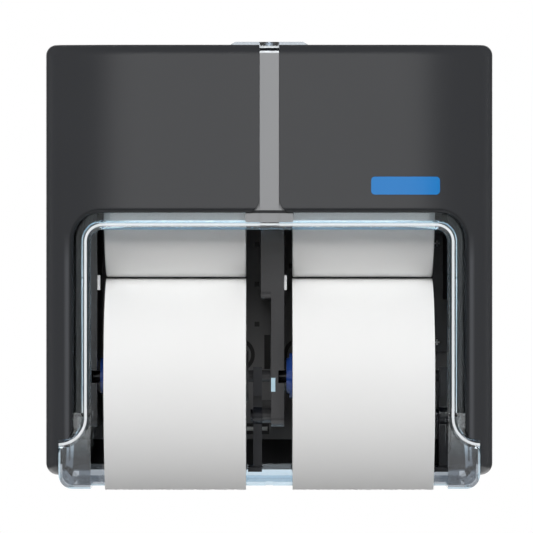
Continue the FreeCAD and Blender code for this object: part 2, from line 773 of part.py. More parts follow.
def clear_cover():
    outer = bowed_block("clear_outside", COVER_INSET, f"-shroud_foot + {COVER_INSET}",
                        f"shroud_top - {COVER_INSET}",
                        f"top_edge_radius - {COVER_INSET}")
    inner = bowed_block("clear_inside", f"{COVER_INSET} + clear_wall", "-2*shroud_foot",
                        f"shroud_top - {COVER_INSET} - clear_wall")
    shell = cut("clear_shell", outer, inner)
    aperture = window_tool("clear_aperture", "rim_half", "rim_top", "rim_radius", "-foot_rear")
    frame = window_tool("return_outside", "(rim_half + clear_wall)", "(rim_top + clear_wall)",
                        "rim_radius + clear_wall", "-foot_rear")
    slab = box("return_slab", ("-body_width", "body_width"),
               (f"-body_depth + {COVER_INSET} + bead_depth", f"-body_depth + {COVER_INSET} + rim_return"),
               ("-flare_top - flare_drop", "body_width"))
    rim_return = common("rim_return_wall", frame, slab)
    strip_block = bowed_block("strip_outside", "strip_sink", "rim_top + bead_radius",
                              "shroud_top - strip_sink",
                              "top_edge_radius - strip_sink")
    strip_span = box("strip_span", ("-strip_width/2 + fit_gap", "strip_width/2 - fit_gap"),
                     ("-2*body_depth", "0"),
                     ("-shroud_foot", "2*shroud_top"))
    strip = cut("strip_rib", common("strip_slice", strip_block, strip_span), inner)
    shoulder, crown = "(shroud_top - plateau_shoulder)", "(plateau_half - plateau_slope)"
    plateau = prism(
        "plateau_block", "XZ",
        [("-plateau_half", "plateau_bottom"), ("plateau_half", "plateau_bottom"),
         ("plateau_half", shoulder),
         (crown, "plateau_top"), (f"-{crown}", "plateau_top"), ("-plateau_half", shoulder)],
        "-lock_depth - plateau_length/2", "-lock_depth + plateau_length/2",
    )
    whole = fuse("clear_whole", shell, rim_return, strip, plateau, *rim_bead(), *clear_feet(),
                 *clear_floor())
    holes = [
        aperture,
        heel_tool("clear_heel"),
        rod("lock_bore", "z", "lock_radius + running_gap",
            ("plateau_bottom - cut_past", "plateau_top + cut_past"),
            ("0", "-lock_depth")),
    ]
    for side, sign in SIDES.items():
        holes.append(rod(f"{side}_pin_bore", "x", "hinge_pin_radius",
                         (f"{sign}*{HALF} - shroud_wall - 3*clear_wall",
                          f"{sign}*{HALF} + shroud_wall + 3*clear_wall"),
                         ("-hinge_depth", "-hinge_drop")))
        holes += [
            rod(f"{side}_clear_hole_{name}", "y", "boss_radius + fit_gap",
                ("-2*body_depth", f"{BOSS_BACK} + cut_past"),
                (f"{sign}*boss_half_span", height))
            for name, height in BOSS_HEIGHTS.items()
        ]
    keep("clear_cover", cut("clear_cover_open", whole, *holes))


def badge():
    """A blank label plate on the right shroud."""
    plate = box("badge_plate", ("badge_right - badge_width", "badge_right"),
                ("-2*body_depth", "-foot_rear"),
                ("badge_low", "badge_low + badge_height"))
    eased = rounded("badge_eased", plate, (along("y"), "badge_round"))
    skin_out = bowed_block("badge_outside", "-badge_thick", "-shroud_foot", "shroud_top",
                           "top_edge_radius")
    skin_in = bowed_block("badge_inside", "0", "-2*shroud_foot", "2*shroud_top")
    keep("badge", common("badge_skin", eased, cut("badge_shell", skin_out, skin_in)))


def hinge_pins():
    for side, sign in SIDES.items():
        low, high = "plate_half - ear_wall - fit_gap", f"{HALF} - {COVER_INSET} - fit_gap"
        span = (low, high) if side == "right" else (f"-({high})", f"-({low})")
        keep(f"{side}_hinge_pin", rod(f"{side}_hinge_pin_rod", "x", "hinge_pin_radius", span,
                                      ("-hinge_depth", "-hinge_drop")))


# The lock on the top of the clear cover

def lock():
    at = ("0", "-lock_depth")
    cam_top, cam_low = "(housing_bottom - fit_gap)", "(housing_bottom - fit_gap - cam_thick)"
    tube = rod("housing_tube", "z", "housing_radius", ("housing_bottom", "plateau_bottom"), at)
    bore = rod("housing_bore", "z", "lock_radius + running_gap",
               ("housing_bottom - cut_past", "plateau_bottom + cut_past"), at)
    keep("lock_housing", cut("lock_housing_tube", tube, bore))

    plug = rod("lock_plug", "z", "lock_radius", (cam_top, "plateau_top + lock_proud"), at)
    key = box("key_slot", ("-key_width/2", "key_width/2"),
              ("-lock_depth - key_length/2", "-lock_depth + key_length/2"),
              ("plateau_top + lock_proud - key_sink", "plateau_top + 2*key_sink"))
    thread = rod("lock_thread", "z", "cam_screw_radius + running_gap",
                 (f"{cam_top} - cut_past", f"{cam_top} + thread_depth"), at)
    keep("lock_cylinder", cut("lock_cylinder_cut", plug, key, thread))

    arm = box("cam_arm", ("0", "cam_reach"), ("-lock_depth - cam_width/2", "-lock_depth + cam_width/2"),
              (cam_low, cam_top))
    eye = rod("cam_eye", "z", "cam_width/2 + eye_margin", (cam_low, cam_top), at)
    tooth = box("cam_tooth", ("cam_reach - tooth_length", "cam_reach"),
                ("-lock_depth - cam_width/2", "-lock_depth + cam_width/2"),
                (f"{cam_low} - tooth_drop", cam_low))
    cam_hole = rod("cam_hole", "z", "cam_screw_radius + running_gap",
                   (f"{cam_low} - cut_past", f"{cam_top} + cut_past"), at)
    keep("lock_cam", cut("lock_cam_cut", fuse("cam_whole", arm, eye, tooth), cam_hole))

    head = rod("cam_screw_head_disc", "z", "cam_screw_head", (f"{cam_low} - cam_screw_cap", cam_low), at)
    shank = rod("cam_screw_shank", "z", "cam_screw_radius",
                (cam_low, f"{cam_top} + thread_depth - thread_room"), at)
    slot = box("cam_screw_slot", ("-cam_screw_head", "cam_screw_head"),
               ("-lock_depth - cross_width/2", "-lock_depth + cross_width/2"),
               (f"{cam_low} - 2*cam_screw_cap", f"{cam_low} - cam_screw_cap + cross_sink"))
    keep("cam_screw", cut("cam_screw_cut", fuse("cam_screw_whole", head, shank), slot))

    lip_top = f"({cam_low} - tooth_drop + strike_overlap)"
    lip_y = "(-lock_depth + cam_reach - tooth_length - strike_thick - strike_gap)"
    base_z = f"({cam_low} - tooth_drop - strike_thick - strike_under)"
    lip = box("strike_lip", ("-strike_half", "strike_half"), (lip_y, f"{lip_y} + strike_thick"),
              (base_z, lip_top))
    arm = box("strike_arm", ("-strike_half", "strike_half"), (lip_y, PLATE_FACE),
              (base_z, f"{base_z} + strike_thick"))
    flange = box("strike_back", ("-strike_back_half", "strike_back_half"),
                 (f"{PLATE_FACE} - strike_thick", PLATE_FACE),
                 (f"{base_z} - strike_flange", f"{base_z} + strike_thick"))
    keep("strike_plate", fuse("strike_whole", lip, arm, flange))


# The chassis

def track_face(name):
    """The X of a track wall's right face. Walls repeat at the pitch of the rolls."""
    shift = {"left": "-1*roll_pitch", "centre": "0", "right": "roll_pitch"}[name]
    return f"({roll_start('right')} - {HUB_REACH} + {shift})"


FLANGE_SCREWS = {"high": "flange_screw_high", "low": "flange_screw_low"}
FLANGE_SCREW_X = f"({track_face('right')} - track_thick - track_step - flange_width/2)"


def back_plate():
    """One moulding: plate, rim, hinge ears, screw holes and the marks in its front face."""
    body = doc.addObject("PartDesign::Body", "back_plate_body")
    planes = {o.Role: o for o in body.Origin.OriginFeatures}
    sketch = outline(
        lambda n: body.newObject("Sketcher::SketchObject", n), "back_plate_outline",
        [("-plate_half", "-plate_bottom"), ("plate_half", "-plate_bottom"),
         ("plate_half", "plate_top"), ("-plate_half", "plate_top")],
    )
    sketch.AttachmentSupport = [(planes["XZ_Plane"], "")]
    sketch.MapMode = "FlatFace"
    pad = body.newObject("PartDesign::Pad", "back_plate_pad")
    pad.Profile = sketch
    pad.setExpression("Length", bound("plate_thick"))
    additions = [body]
    for side, sign in SIDES.items():
        rim = ("plate_half - plate_rim_wall", "plate_half")
        ear = ("plate_half - ear_wall", "plate_half")
        if side == "left":
            rim, ear = [(f"-({b})", f"-({a})") for a, b in (rim, ear)]
        additions.append(box(f"{side}_rim", rim, ("-plate_rim", "0"), ("-plate_bottom", "plate_top")))
        additions.append(box(f"{side}_ear", ear, ("-hinge_depth - ear_front", "0"),
                             ("-hinge_drop - ear_drop", "-hinge_drop + ear_rise")))
    additions.append(box("top_rim", ("-plate_half", "plate_half"), ("-plate_rim", "0"),
                         ("plate_top - plate_rim_wall", "plate_top")))
    tools = []
    for side, sign in SIDES.items():
        tools.append(rod(f"{side}_ear_bore", "x", "hinge_pin_radius + running_gap",
                         (f"{sign}*plate_half - 2*ear_wall", f"{sign}*plate_half + 2*ear_wall"),
                         ("-hinge_depth", "-hinge_drop")))
        for level, height in (("high", "screw_high"), ("low", "-screw_low")):
            tools.append(rod(f"{side}_{level}_screw_hole", "y", "screw_hole_radius",
                             ("-plate_thick - cut_past", "cut_past"),
                             (f"{sign}*screw_half_span", height)))
        groove = cut(
            f"{side}_ring_groove",
            rod(f"{side}_ring_out", "y", "ring_radius", ("-2*plate_thick", "-plate_thick + ring_sink"),
                (f"{sign}*ring_half_span", "-ring_drop")),
            rod(f"{side}_ring_in", "y", "ring_radius - ring_width", ("-3*plate_thick", "plate_thick"),
                (f"{sign}*ring_half_span", "-ring_drop")),
        )
        tools.append(groove)
    for level, height in FLANGE_SCREWS.items():
        tools.append(rod(f"plate_hole_{level}", "y", "flange_screw_radius + running_gap",
                         ("-2*plate_thick", "cut_past"),
                         (FLANGE_SCREW_X, height)))
    for index, (x, z) in enumerate(PORTS):
        tools.append(box(f"port_{index}", (f"{x} - port_side/2", f"{x} + port_side/2"),
                         ("-plate_thick - cut_past", "-port_web"),
                         (f"{z} - port_side/2", f"{z} + port_side/2")))
    tools.append(box("plate_slot", ("-slot_left", "-slot_left + slot_width"),
                     ("-plate_thick - cut_past", "-port_web"),
                     ("-slot_drop - slot_height", "-slot_drop")))
    tools.append(box("vial_recess", VIAL_SPAN_WIDE, ("-2*plate_thick", "-plate_thick + vial_sink"),
                     ("-vial_drop - vial_radius - vial_margin",
                      "-vial_drop + vial_radius + vial_margin")))
    keep("back_plate", cut("back_plate_moulding", fuse("back_plate_whole", *additions), *tools))


PORTS = [
    ("(-1*port_left)", "(port_high - plate_bottom)"),
    ("(-1*port_left)", "(port_middle - plate_bottom)"),
    ("(-1*port_left)", "(port_low - plate_bottom)"),
    ("port_right", "(port_right_rise - plate_bottom)"),
]
VIAL_SPAN = ("-vial_length - vial_margin/2", "-vial_margin/2")
VIAL_SPAN_WIDE = ("-vial_length - vial_margin", "0")


def level_vial():
    keep("level_vial", rod("vial_tube", "x", "vial_radius", VIAL_SPAN,
                           ("-plate_thick + vial_sink - vial_radius - running_gap", "-vial_drop")))


def bottom_skirt():
    points = [
        ("0", "-plate_bottom"), ("-plate_thick", "-plate_bottom"),
        ("-skirt_reach", "-plate_bottom - skirt_drop"),
        ("-skirt_reach", "-plate_bottom - skirt_drop - skirt_thick"),
        ("0", "-plate_bottom - skirt_thick"),
    ]
    keep("bottom_skirt", prism("skirt_plate", "YZ", points, "-skirt_half", "skirt_half"))


def journal_slot(name, span, height):
    """A slot open to the front, with a round seat on the roll's axis."""
    radius = "(journal_radius + journal_gap)"
    channel = box(name + "_channel", span, ("-2*track_front", PIVOT_Y),
                  (f"{height} - {radius}", f"{height} + {radius}"))
    seat = rod(name + "_seat", "x", radius, span, (PIVOT_Y, height))
    return fuse(name, channel, seat)


def hub_seats(name, face):
    """Raised seats on a wall's right face, and the slots in them for the hubs' journals."""
    seats, slots = [], []
    for tier, height in AXIS_HEIGHT.items():
        proud = f"{face} + hub_gap - seat_gap"
        seats.append(rod(f"{name}_{tier}_boss", "x", "seat_boss_radius",
                         (f"{face} - track_thick/2", proud),
                         (PIVOT_Y, height)))
        slots.append(journal_slot(f"{name}_{tier}_hub_slot",
                                  (f"{face} - hub_slot_depth", f"{face} + 2*hub_gap"),
                                  height))
    return seats, slots


def lever_support(name, back, side):
    """The spacer that the lever turns against, the block that holds its leaf spring, and the pin's bore."""
    lever_right = f"({roll_end(side)} + lever_gap + lever_thick)"
    spacer = rod(f"{name}_spacer", "x", "spacer_radius",
                 (f"{lever_right} + spacer_gap", f"{back} + track_thick/2"),
                 (PIVOT_Y, PIVOT_Z))
    low_z = f"{PIVOT_Z} + leaf_rise"
    block = box(f"{name}_anchor", (f"{lever_right} - lever_thick", f"{back} + track_thick/2"),
                (f"{PIVOT_Y} + leaf_anchor + leaf_thick",
                 f"{PIVOT_Y} + leaf_anchor + leaf_thick + anchor_depth"),
                (low_z, f"{low_z} + anchor_height"))
    bore = rod(f"{name}_pivot_bore", "x", "lever_pin_radius + running_gap",
               (lever_right, f"{back} + lever_pin_sink + running_gap"), (PIVOT_Y, PIVOT_Z))
    return [spacer, block], [bore]


def flange_boxes(back, step_face):
    """The right wall's foot flange against the back plate."""
    return [box("flange_foot", (f"{step_face} - flange_width", f"{back} + track_thick/2"),
                (f"{PLATE_FACE} - flange_thick", PLATE_FACE),
                ("flange_screw_low - flange_margin", "flange_screw_high + flange_margin"))]


def track_wall(name):
    face = track_face(name)
    back = f"({face} - track_thick)"
    step_face = f"({back} - track_step)"
    pieces = [box(f"{name}_web", (back, face), ("-track_front", PLATE_FACE),
                  ("-track_bottom", "track_top"))]
    if name != "left":
        pieces.append(box(f"{name}_step", (step_face, back), ("-track_front", PLATE_FACE),
                          ("step_foot", "track_top")))
    blank = fuse(f"{name}_blank", *pieces) if len(pieces) > 1 else pieces[0]
    eased = rounded(f"{name}_eased", blank, (along("x", y=number("-track_front")), "track_round"))
    added, tools = [eased], []
    if name != "right":
        seats, slots = hub_seats(name, face)
        added += seats
        tools += slots
    if name != "left":
        supports, bores = lever_support(name, back, "left" if name == "centre" else "right")
        added += supports
        tools += bores
        tools.append(journal_slot(f"{name}_cap_slot", (f"{step_face} - cut_past", back), "upper_axis"))
    if name == "right":
        added += flange_boxes(back, step_face)
        tools += [
            rod(f"flange_hole_{level}", "y", "flange_screw_radius + running_gap",
                (f"{PLATE_FACE} - 2*flange_thick", PLATE_FACE), (f"{step_face} - flange_width/2", height))
            for level, height in FLANGE_SCREWS.items()
        ]
    return cut(f"{name}_track", fuse(f"{name}_whole", *added), *tools)


def guide_walls():
    labels = {"left": "left_guide_wall", "centre": "centre_divider", "right": "right_guide_wall"}
    for name, label in labels.items():
        keep(label, track_wall(name))
    for side, name in (("left", "left"), ("right", "centre")):
        face = track_face(name)
        front = "-track_front + track_round"
        keep(f"{side}_track_stop", box(f"{side}_stop_tab", (face, f"{face} + stop_thick"),
                                       (front, f"{front} + stop_depth"),
                                       ("stop_foot - stop_height", "stop_foot")))


def divider_catch():
    """A small clear plate on the front edge of the divider, beside the working roll's axis."""
    back = f"({track_face('centre')} - track_thick)"
    keep("divider_catch", box("catch_plate", (back, f"{back} + catch_width"),
                              ("-track_front - catch_thick", "-track_front"),
                              ("lower_axis - catch_sink - catch_height", "lower_axis - catch_sink")))


def cross_screw(name, x, z, seat_y, head, cap, radius, length):
    """A pan-head screw into the wall, with its head in front of seat_y."""
    disc = rod(name + "_head", "y", head, (f"{seat_y} - {cap}", seat_y), (x, z))
    shank = rod(name + "_shank", "y", radius, (seat_y, f"{seat_y} + {length}"), (x, z))
    sunk = (f"{seat_y} - 2*{cap}", f"{seat_y} - {cap} + cross_sink")
    bars = [
        box(f"{name}_bar_{axis}", (f"{x} - {wide}", f"{x} + {wide}"), sunk,
            (f"{z} - {tall}", f"{z} + {tall}"))
        for axis, wide, tall in (("x", "cross_half", "cross_width/2"),
                                 ("z", "cross_width/2", "cross_half"))
    ]
    return cut(name, fuse(name + "_blank", disc, shank), *bars)


def flange_screws():
    seat = f"({PLATE_FACE} - flange_thick)"
    group = doc.addObject("Part::Compound", "flange_screw_group")
    group.Links = [
        cross_screw(f"flange_screw_{level}_piece", FLANGE_SCREW_X, height, seat, "flange_screw_head",
                    "flange_screw_cap",
                    "flange_screw_radius", "flange_screw_length")
        for level, height in FLANGE_SCREWS.items()
    ]
    keep("flange_screws", group)


# The release levers under the right end of each working roll

def levers():
    support = "(lever_pivot_drop + lower_axis - journal_radius - lever_seat_gap)"
    base = f"({PIVOT_Z} + {support} - lever_head_depth)"
    lip_top = "(lower_axis + lever_lip_height)"
    for side in SIDES:
        left = f"({roll_end(side)} + lever_gap)"
        span = (left, f"{left} + lever_thick")
        boss = rod(f"{side}_lever_boss", "x", "lever_boss_radius", span, (PIVOT_Y, PIVOT_Z))
        arm = box(f"{side}_lever_arm", span,
                  (f"{PIVOT_Y} - lever_arm_width/2", f"{PIVOT_Y} + lever_arm_width/2"),
                  (f"{PIVOT_Z} - lever_pad_drop", f"{base} + cut_past"))
        disc = rod(f"{side}_lever_disc", "x", support, span, (PIVOT_Y, PIVOT_Z))
        slab = box(f"{side}_lever_slab", span,
                   (f"{PIVOT_Y} - lever_head_front", f"{PIVOT_Y} + lever_head_rear"),
                   (base, "lower_axis"))
        head = common(f"{side}_lever_head", disc, slab)
        lip_points = [
            (f"{PIVOT_Y} - lever_head_front", base), (f"{PIVOT_Y} - lever_head_front", lip_top),
            (f"{PIVOT_Y} - lever_head_front + lever_lip_thick", lip_top),
            (f"{PIVOT_Y} - journal_radius - lever_lip_gap", base),
        ]
        lip = prism(f"{side}_lever_lip", "YZ", lip_points, *span)
        pad = box(f"{side}_lever_pad", (f"{left} - lever_pad_side", span[1]),
                  (f"{PIVOT_Y} - lever_pad_reach", f"{PIVOT_Y} + lever_arm_width/2"),
                  (f"{PIVOT_Z} - lever_pad_drop - lever_pad_thick", f"{PIVOT_Z} - lever_pad_drop"))
        bore = rod(f"{side}_lever_bore", "x", "lever_pin_radius + running_gap",
                   (f"{left} - cut_past", f"{span[1]} + cut_past"),
                   (PIVOT_Y, PIVOT_Z))
        keep(f"{side}_lever", cut(f"{side}_lever_cut",
                                  fuse(f"{side}_lever_blank", boss, arm, head, lip, pad), bore))
        lever_pin(side, left)
        leaf_spring(side, left)


def lever_pin(side, left):
    back = f"({track_face('centre' if side == 'left' else 'right')} - track_thick)"
    head = rod(f"{side}_pin_head", "x", "lever_pin_head",
               (f"{left} - spacer_gap - lever_pin_cap", f"{left} - spacer_gap"), (PIVOT_Y, PIVOT_Z))
    shank = rod(f"{side}_pin_shank", "x", "lever_pin_radius",
                (f"{left} - spacer_gap", f"{back} + lever_pin_sink"), (PIVOT_Y, PIVOT_Z))
    keep(f"{side}_lever_pin", fuse(f"{side}_pin_whole", head, shank))


def leaf_spring(side, left):
    """A strip that is held flat on its block and bends forward to the back of the lever's lower arm."""
    held, free = f"({PIVOT_Y} + leaf_anchor)", f"({PIVOT_Y} + lever_arm_width/2 + leaf_gap)"
    bend, tip = f"({PIVOT_Z} + leaf_rise)", f"({PIVOT_Z} - leaf_drop)"
    top = f"({PIVOT_Z} + leaf_rise + anchor_height)"
    points = [
        (held, top), (held, bend), (free, tip), (f"{free} + leaf_thick", tip),
        (f"{held} + leaf_thick", bend), (f"{held} + leaf_thick", top),
    ]
    low = f"({left} + lever_thick/2 - leaf_width/2)"
    keep(f"{side}_leaf_spring", prism(f"{side}_leaf_strip", "YZ", points, low, f"{low} + leaf_width"))


# The rolls, two above two, each with its core, hub and cap

def rolls():
    plug = "(core_radius - core_wall - plug_gap)"
    hub_points = [
        ("-2*hub_disc - hub_gap - hub_journal", "0"),
        ("-2*hub_disc - hub_gap - hub_journal", "journal_radius"),
        ("-2*hub_disc", "journal_radius"), ("-2*hub_disc", "hub_step_radius"),
        ("-hub_disc", "hub_step_radius"),
        ("-hub_disc", "hub_radius"), ("0", "hub_radius"), ("0", plug), ("plug_length", plug),
        ("plug_length", "0"),
    ]
    cap_points = [
        ("-plug_length", "0"), ("-plug_length", plug), ("0", plug), ("0", "cap_radius"),
        ("cap_flange", "cap_radius"),
        ("cap_flange", "journal_radius"), ("cap_flange + cap_journal", "journal_radius"),
        ("cap_flange + cap_journal", "0"),
    ]
    for side in SIDES:
        for tier, height in AXIS_HEIGHT.items():
            name, at = f"{side}_{tier}", (PIVOT_Y, height)
            span = (roll_start(side), roll_end(side))
            long_span = (f"{span[0]} - cut_past", f"{span[1]} + cut_past")
            keep(f"{name}_roll", cut(
                f"{name}_wound", rod(f"{name}_disc", "x", "roll_radius", span, at),
                rod(f"{name}_bore", "x", "core_radius + running_gap", long_span, at)))
            keep(f"{name}_core", cut(
                f"{name}_tube", rod(f"{name}_core_out", "x", "core_radius", span, at),
                rod(f"{name}_core_in", "x", "core_radius - core_wall", long_span, at)))
            turned(f"{name}_hub", hub_points, span[0], *at)
            turned(f"{name}_cap", cap_points, span[1], *at)


def paper_tails():
    """The loose end of each working roll: it leaves the roll's front and curves back as it hangs."""
    reach = "(roll_radius + tail_gap + tail_thick)"
    start = Rotation(Vector(0, 1, 0), 90).multiply(Rotation(Vector(0, 0, 1), 270))
    for side in SIDES:
        skins = []
        for name, radius in (("out", "tail_radius + tail_thick"), ("in", "tail_radius")):
            skin = doc.addObject("Part::Cylinder", f"{side}_tail_{name}")
            skin.setExpression("Radius", bound(radius))
            skin.setExpression("Height", bound("roll_width"))
            skin.setExpression("Angle", bound("tail_angle"))
            skin.Placement = Placement(Vector(), start)
            place(skin, roll_start(side), f"-roll_depth - {reach} + tail_radius + tail_thick",
                  "lower_axis")
            skins.append(skin)
        keep(f"{side}_paper_tail", cut(f"{side}_tail_sheet", *skins))


def document_is_sound():
    faults = [o.Label for o in doc.Objects if {"Invalid", "Error"} & set(o.State)]
    faults += [o.Label for o in subparts if o.Shape.isNull() or not o.Shape.isValid()]
    if faults:
        raise RuntimeError("not built: " + ", ".join(faults))


def write_parts():
    os.makedirs("parts", exist_ok=True)
    for obj in subparts:
        obj.Shape.exportStep(os.path.join("parts", obj.Label + ".step"))
    print(len(subparts), "parts written")


fill_sheet()
shrouds()
shroud_fixings()
clear_cover()
badge()
hinge_pins()
lock()
back_plate()
level_vial()
bottom_skirt()
guide_walls()
divider_catch()
flange_screws()
levers()
rolls()
paper_tails()
doc.recompute()
document_is_sound()
write_parts()
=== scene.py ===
"""Dresses a wall-mounted twin toilet paper dispenser: its finishes, its paper and its studio."""
import math

import bpy
from bpy.props import FloatProperty, FloatVectorProperty, IntProperty, PointerProperty
from bpy.types import Operator, Panel, PropertyGroup
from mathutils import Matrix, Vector


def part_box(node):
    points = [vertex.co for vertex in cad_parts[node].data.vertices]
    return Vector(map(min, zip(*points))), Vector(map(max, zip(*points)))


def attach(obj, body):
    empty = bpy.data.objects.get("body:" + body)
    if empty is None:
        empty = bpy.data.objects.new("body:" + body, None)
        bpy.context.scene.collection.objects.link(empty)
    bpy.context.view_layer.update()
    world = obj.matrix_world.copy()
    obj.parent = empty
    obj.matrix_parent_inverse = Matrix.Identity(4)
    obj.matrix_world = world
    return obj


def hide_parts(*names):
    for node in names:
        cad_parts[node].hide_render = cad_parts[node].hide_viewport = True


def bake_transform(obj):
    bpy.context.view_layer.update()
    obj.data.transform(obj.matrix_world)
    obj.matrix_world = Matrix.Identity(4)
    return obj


bl_info = {
    "name": "Twin paper dispenser",
    "version": (1, 0, 0),
    "blender": (4, 5, 0),
    "location": "View3D > Sidebar > Dispenser",
    "description": "Finishes, paper and studio for a wall-mounted twin toilet paper dispenser",
    "category": "Object",
}

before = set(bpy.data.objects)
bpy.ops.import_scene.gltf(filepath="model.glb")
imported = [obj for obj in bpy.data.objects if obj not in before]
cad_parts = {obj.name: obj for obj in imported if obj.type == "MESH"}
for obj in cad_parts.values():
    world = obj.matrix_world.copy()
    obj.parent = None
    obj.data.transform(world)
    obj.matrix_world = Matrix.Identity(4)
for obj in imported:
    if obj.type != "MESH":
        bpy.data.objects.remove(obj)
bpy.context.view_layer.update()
SIDES = ("left", "right")
TIERS = ("lower", "upper")
PHOTO_PIXELS = 533
# Width of the camera's sensor, in millimetres
SENSOR_WIDTH = 36.0
SMOOTH_ANGLE = math.radians(40)
# Sockets of a mix node that mixes colours
MIX_FACTOR, MIX_FIRST, MIX_SECOND, MIX_RESULT = 0, 6, 7, 2
# Scales of a noise that draw it out into lines along an axis
LINES_ALONG_X = (0.08, 1, 1)
LINES_ALONG_Z = (1, 1, 0.08)
NO_LINES = (1, 1, 1)
# Between a ray's count of no diffuse bounce and one
FIRST_BOUNCE = 0.5
# How squarely a face looks along X to count as the end of a roll
END_FACING = 0.8
# Breadth of the strip that a sheet is drawn from, and how near to its end a point counts as torn
STARTER_BREADTH = 0.0001
TORN_REACH = 1e-5
# The back plate's front face, which the divider stands on
PLATE_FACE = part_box("centre_divider")[1].y


# Sizes and colours that a user would change

def colour_prop(name, description, default):
    return FloatVectorProperty(
        name=name, description=description, subtype="COLOR", size=3, min=0, max=1, default=default)


def length_prop(name, description, default):
    return FloatProperty(name=name, description=description, default=default, unit="LENGTH")


def band_prop(name, description, default):
    """Two places, where something starts and where it ends."""
    return FloatVectorProperty(name=name, description=description, size=2, default=default, unit="LENGTH")


def share_prop(name, description, default, most=1.0):
    return FloatProperty(
        name=name, description=description, default=default, min=0, max=most, subtype="FACTOR")


class DispenserFinishes(PropertyGroup):
    """Colours of the pieces, as linear values, and how some of them take light; some colours are painted
    highlights and painted shade.
    """

    charcoal: colour_prop("Charcoal", "Dark plastic of the two shrouds", (0.037, 0.0385, 0.042))
    # Painted shade: black for the shade on the window's rounded lip and for dark lines on the clear shell
    painted_shade_black: colour_prop("Lip black", "Rounded lip of the shrouds' window", (0.010, 0.011, 0.013))
    clear_tint: colour_prop("Clear tint", "Tint of the clear window frame", (0.90, 0.96, 0.99))
    foot_smoke: colour_prop("Foot smoke", "Smoky tint of the clear feet", (0.32, 0.355, 0.395))
    floor_smoke: colour_prop("Floor smoke", "Smoky tint of the clear floor", (0.54, 0.66, 0.75))
    tab_smoke: colour_prop("Tab smoke", "Smoky tint of the clear lock tab", (0.50, 0.55, 0.60))
    # Painted highlight: the light-blue line along the rim's inner edge
    edge_highlight_blue: colour_prop("Edge blue", "Inner edge of the clear rim", (0.36, 0.62, 0.84))
    # Painted highlight: the bright lines on the clear feet's edges
    foot_highlight: colour_prop("Foot line", "Bright edges of the clear feet", (0.62, 0.80, 0.92))
    # Painted highlight: white along the rim's crest, also used for the strip's two bright lines
    highlight_white: colour_prop("Bead white", "Bright line along the clear rim", (0.90, 0.94, 0.97))
    strip_grey: colour_prop("Strip grey", "Frosted strip between the shrouds", (0.335, 0.34, 0.35))
    lever_navy: colour_prop("Lever navy", "Dark plastic of the release levers", (0.006, 0.007, 0.010))
    catch_blue: colour_prop("Catch blue", "Small plate on the divider", (0.42, 0.60, 0.70))
    stop_white: colour_prop("Stop white", "Small tabs beside the rolls", (0.86, 0.87, 0.88))
    vial_silver: colour_prop("Vial silver", "Level low on the back plate", (0.86, 0.88, 0.86))
    chassis_black: colour_prop("Chassis black", "Skirt, walls, caps and lock housing", (0.028, 0.028, 0.030))
    plate_grey: colour_prop("Plate grey", "Back plate", (0.17, 0.17, 0.172))
    # Painted shade: black for the back plate's recesses
    recess_shade_black: colour_prop("Recess black", "Recesses in the back plate", (0.006, 0.006, 0.006))
    hub_blue: colour_prop("Hub blue", "Hubs of the rolls", (0.02, 0.07, 0.32))
    badge_blue: colour_prop("Badge blue", "Blank label plate", (0.011, 0.205, 0.578))
    zinc: colour_prop("Zinc", "Plated pins, screws and lock parts", (0.62, 0.63, 0.65))
    dark_steel: colour_prop("Dark steel", "Lever pins and leaf springs", (0.05, 0.05, 0.055))
    chrome: colour_prop("Chrome", "Lock cylinder", (0.8, 0.81, 0.83))
    screw_black: colour_prop("Screw black", "Heads of the flange screws", (0.015, 0.015, 0.016))
    slot_bright: colour_prop("Slot bright", "Cross slots of the flange screws", (0.85, 0.86, 0.87))
    tissue_white: colour_prop("Tissue white", "Paper of the rolls", (0.93, 0.93, 0.925))
    card_brown: colour_prop("Card brown", "Cores of the rolls", (0.33, 0.24, 0.16))
    # Painted highlight: how much lighter than the charcoal the line along the window's legs is
    highlight_gain: share_prop("Rub shade", "Brightness of the rubbed line against the charcoal", 2.1, most=4.0)
    clear_rough: share_prop("Clear roughness", "Roughness of the clear plastic", 0.03)
    frost_rough: share_prop("Frost roughness", "Roughness of the frosted strip", 0.45)
    # How far the painted highlights on the feet's edges hide what is behind
    foot_highlight_cover: share_prop("Foot line cover", "How far a foot's bright edges hide what is behind", 0.6)
    mark_clearness: share_prop("Mark clearness", "What the strip and the shell's lines let through", 0.12)


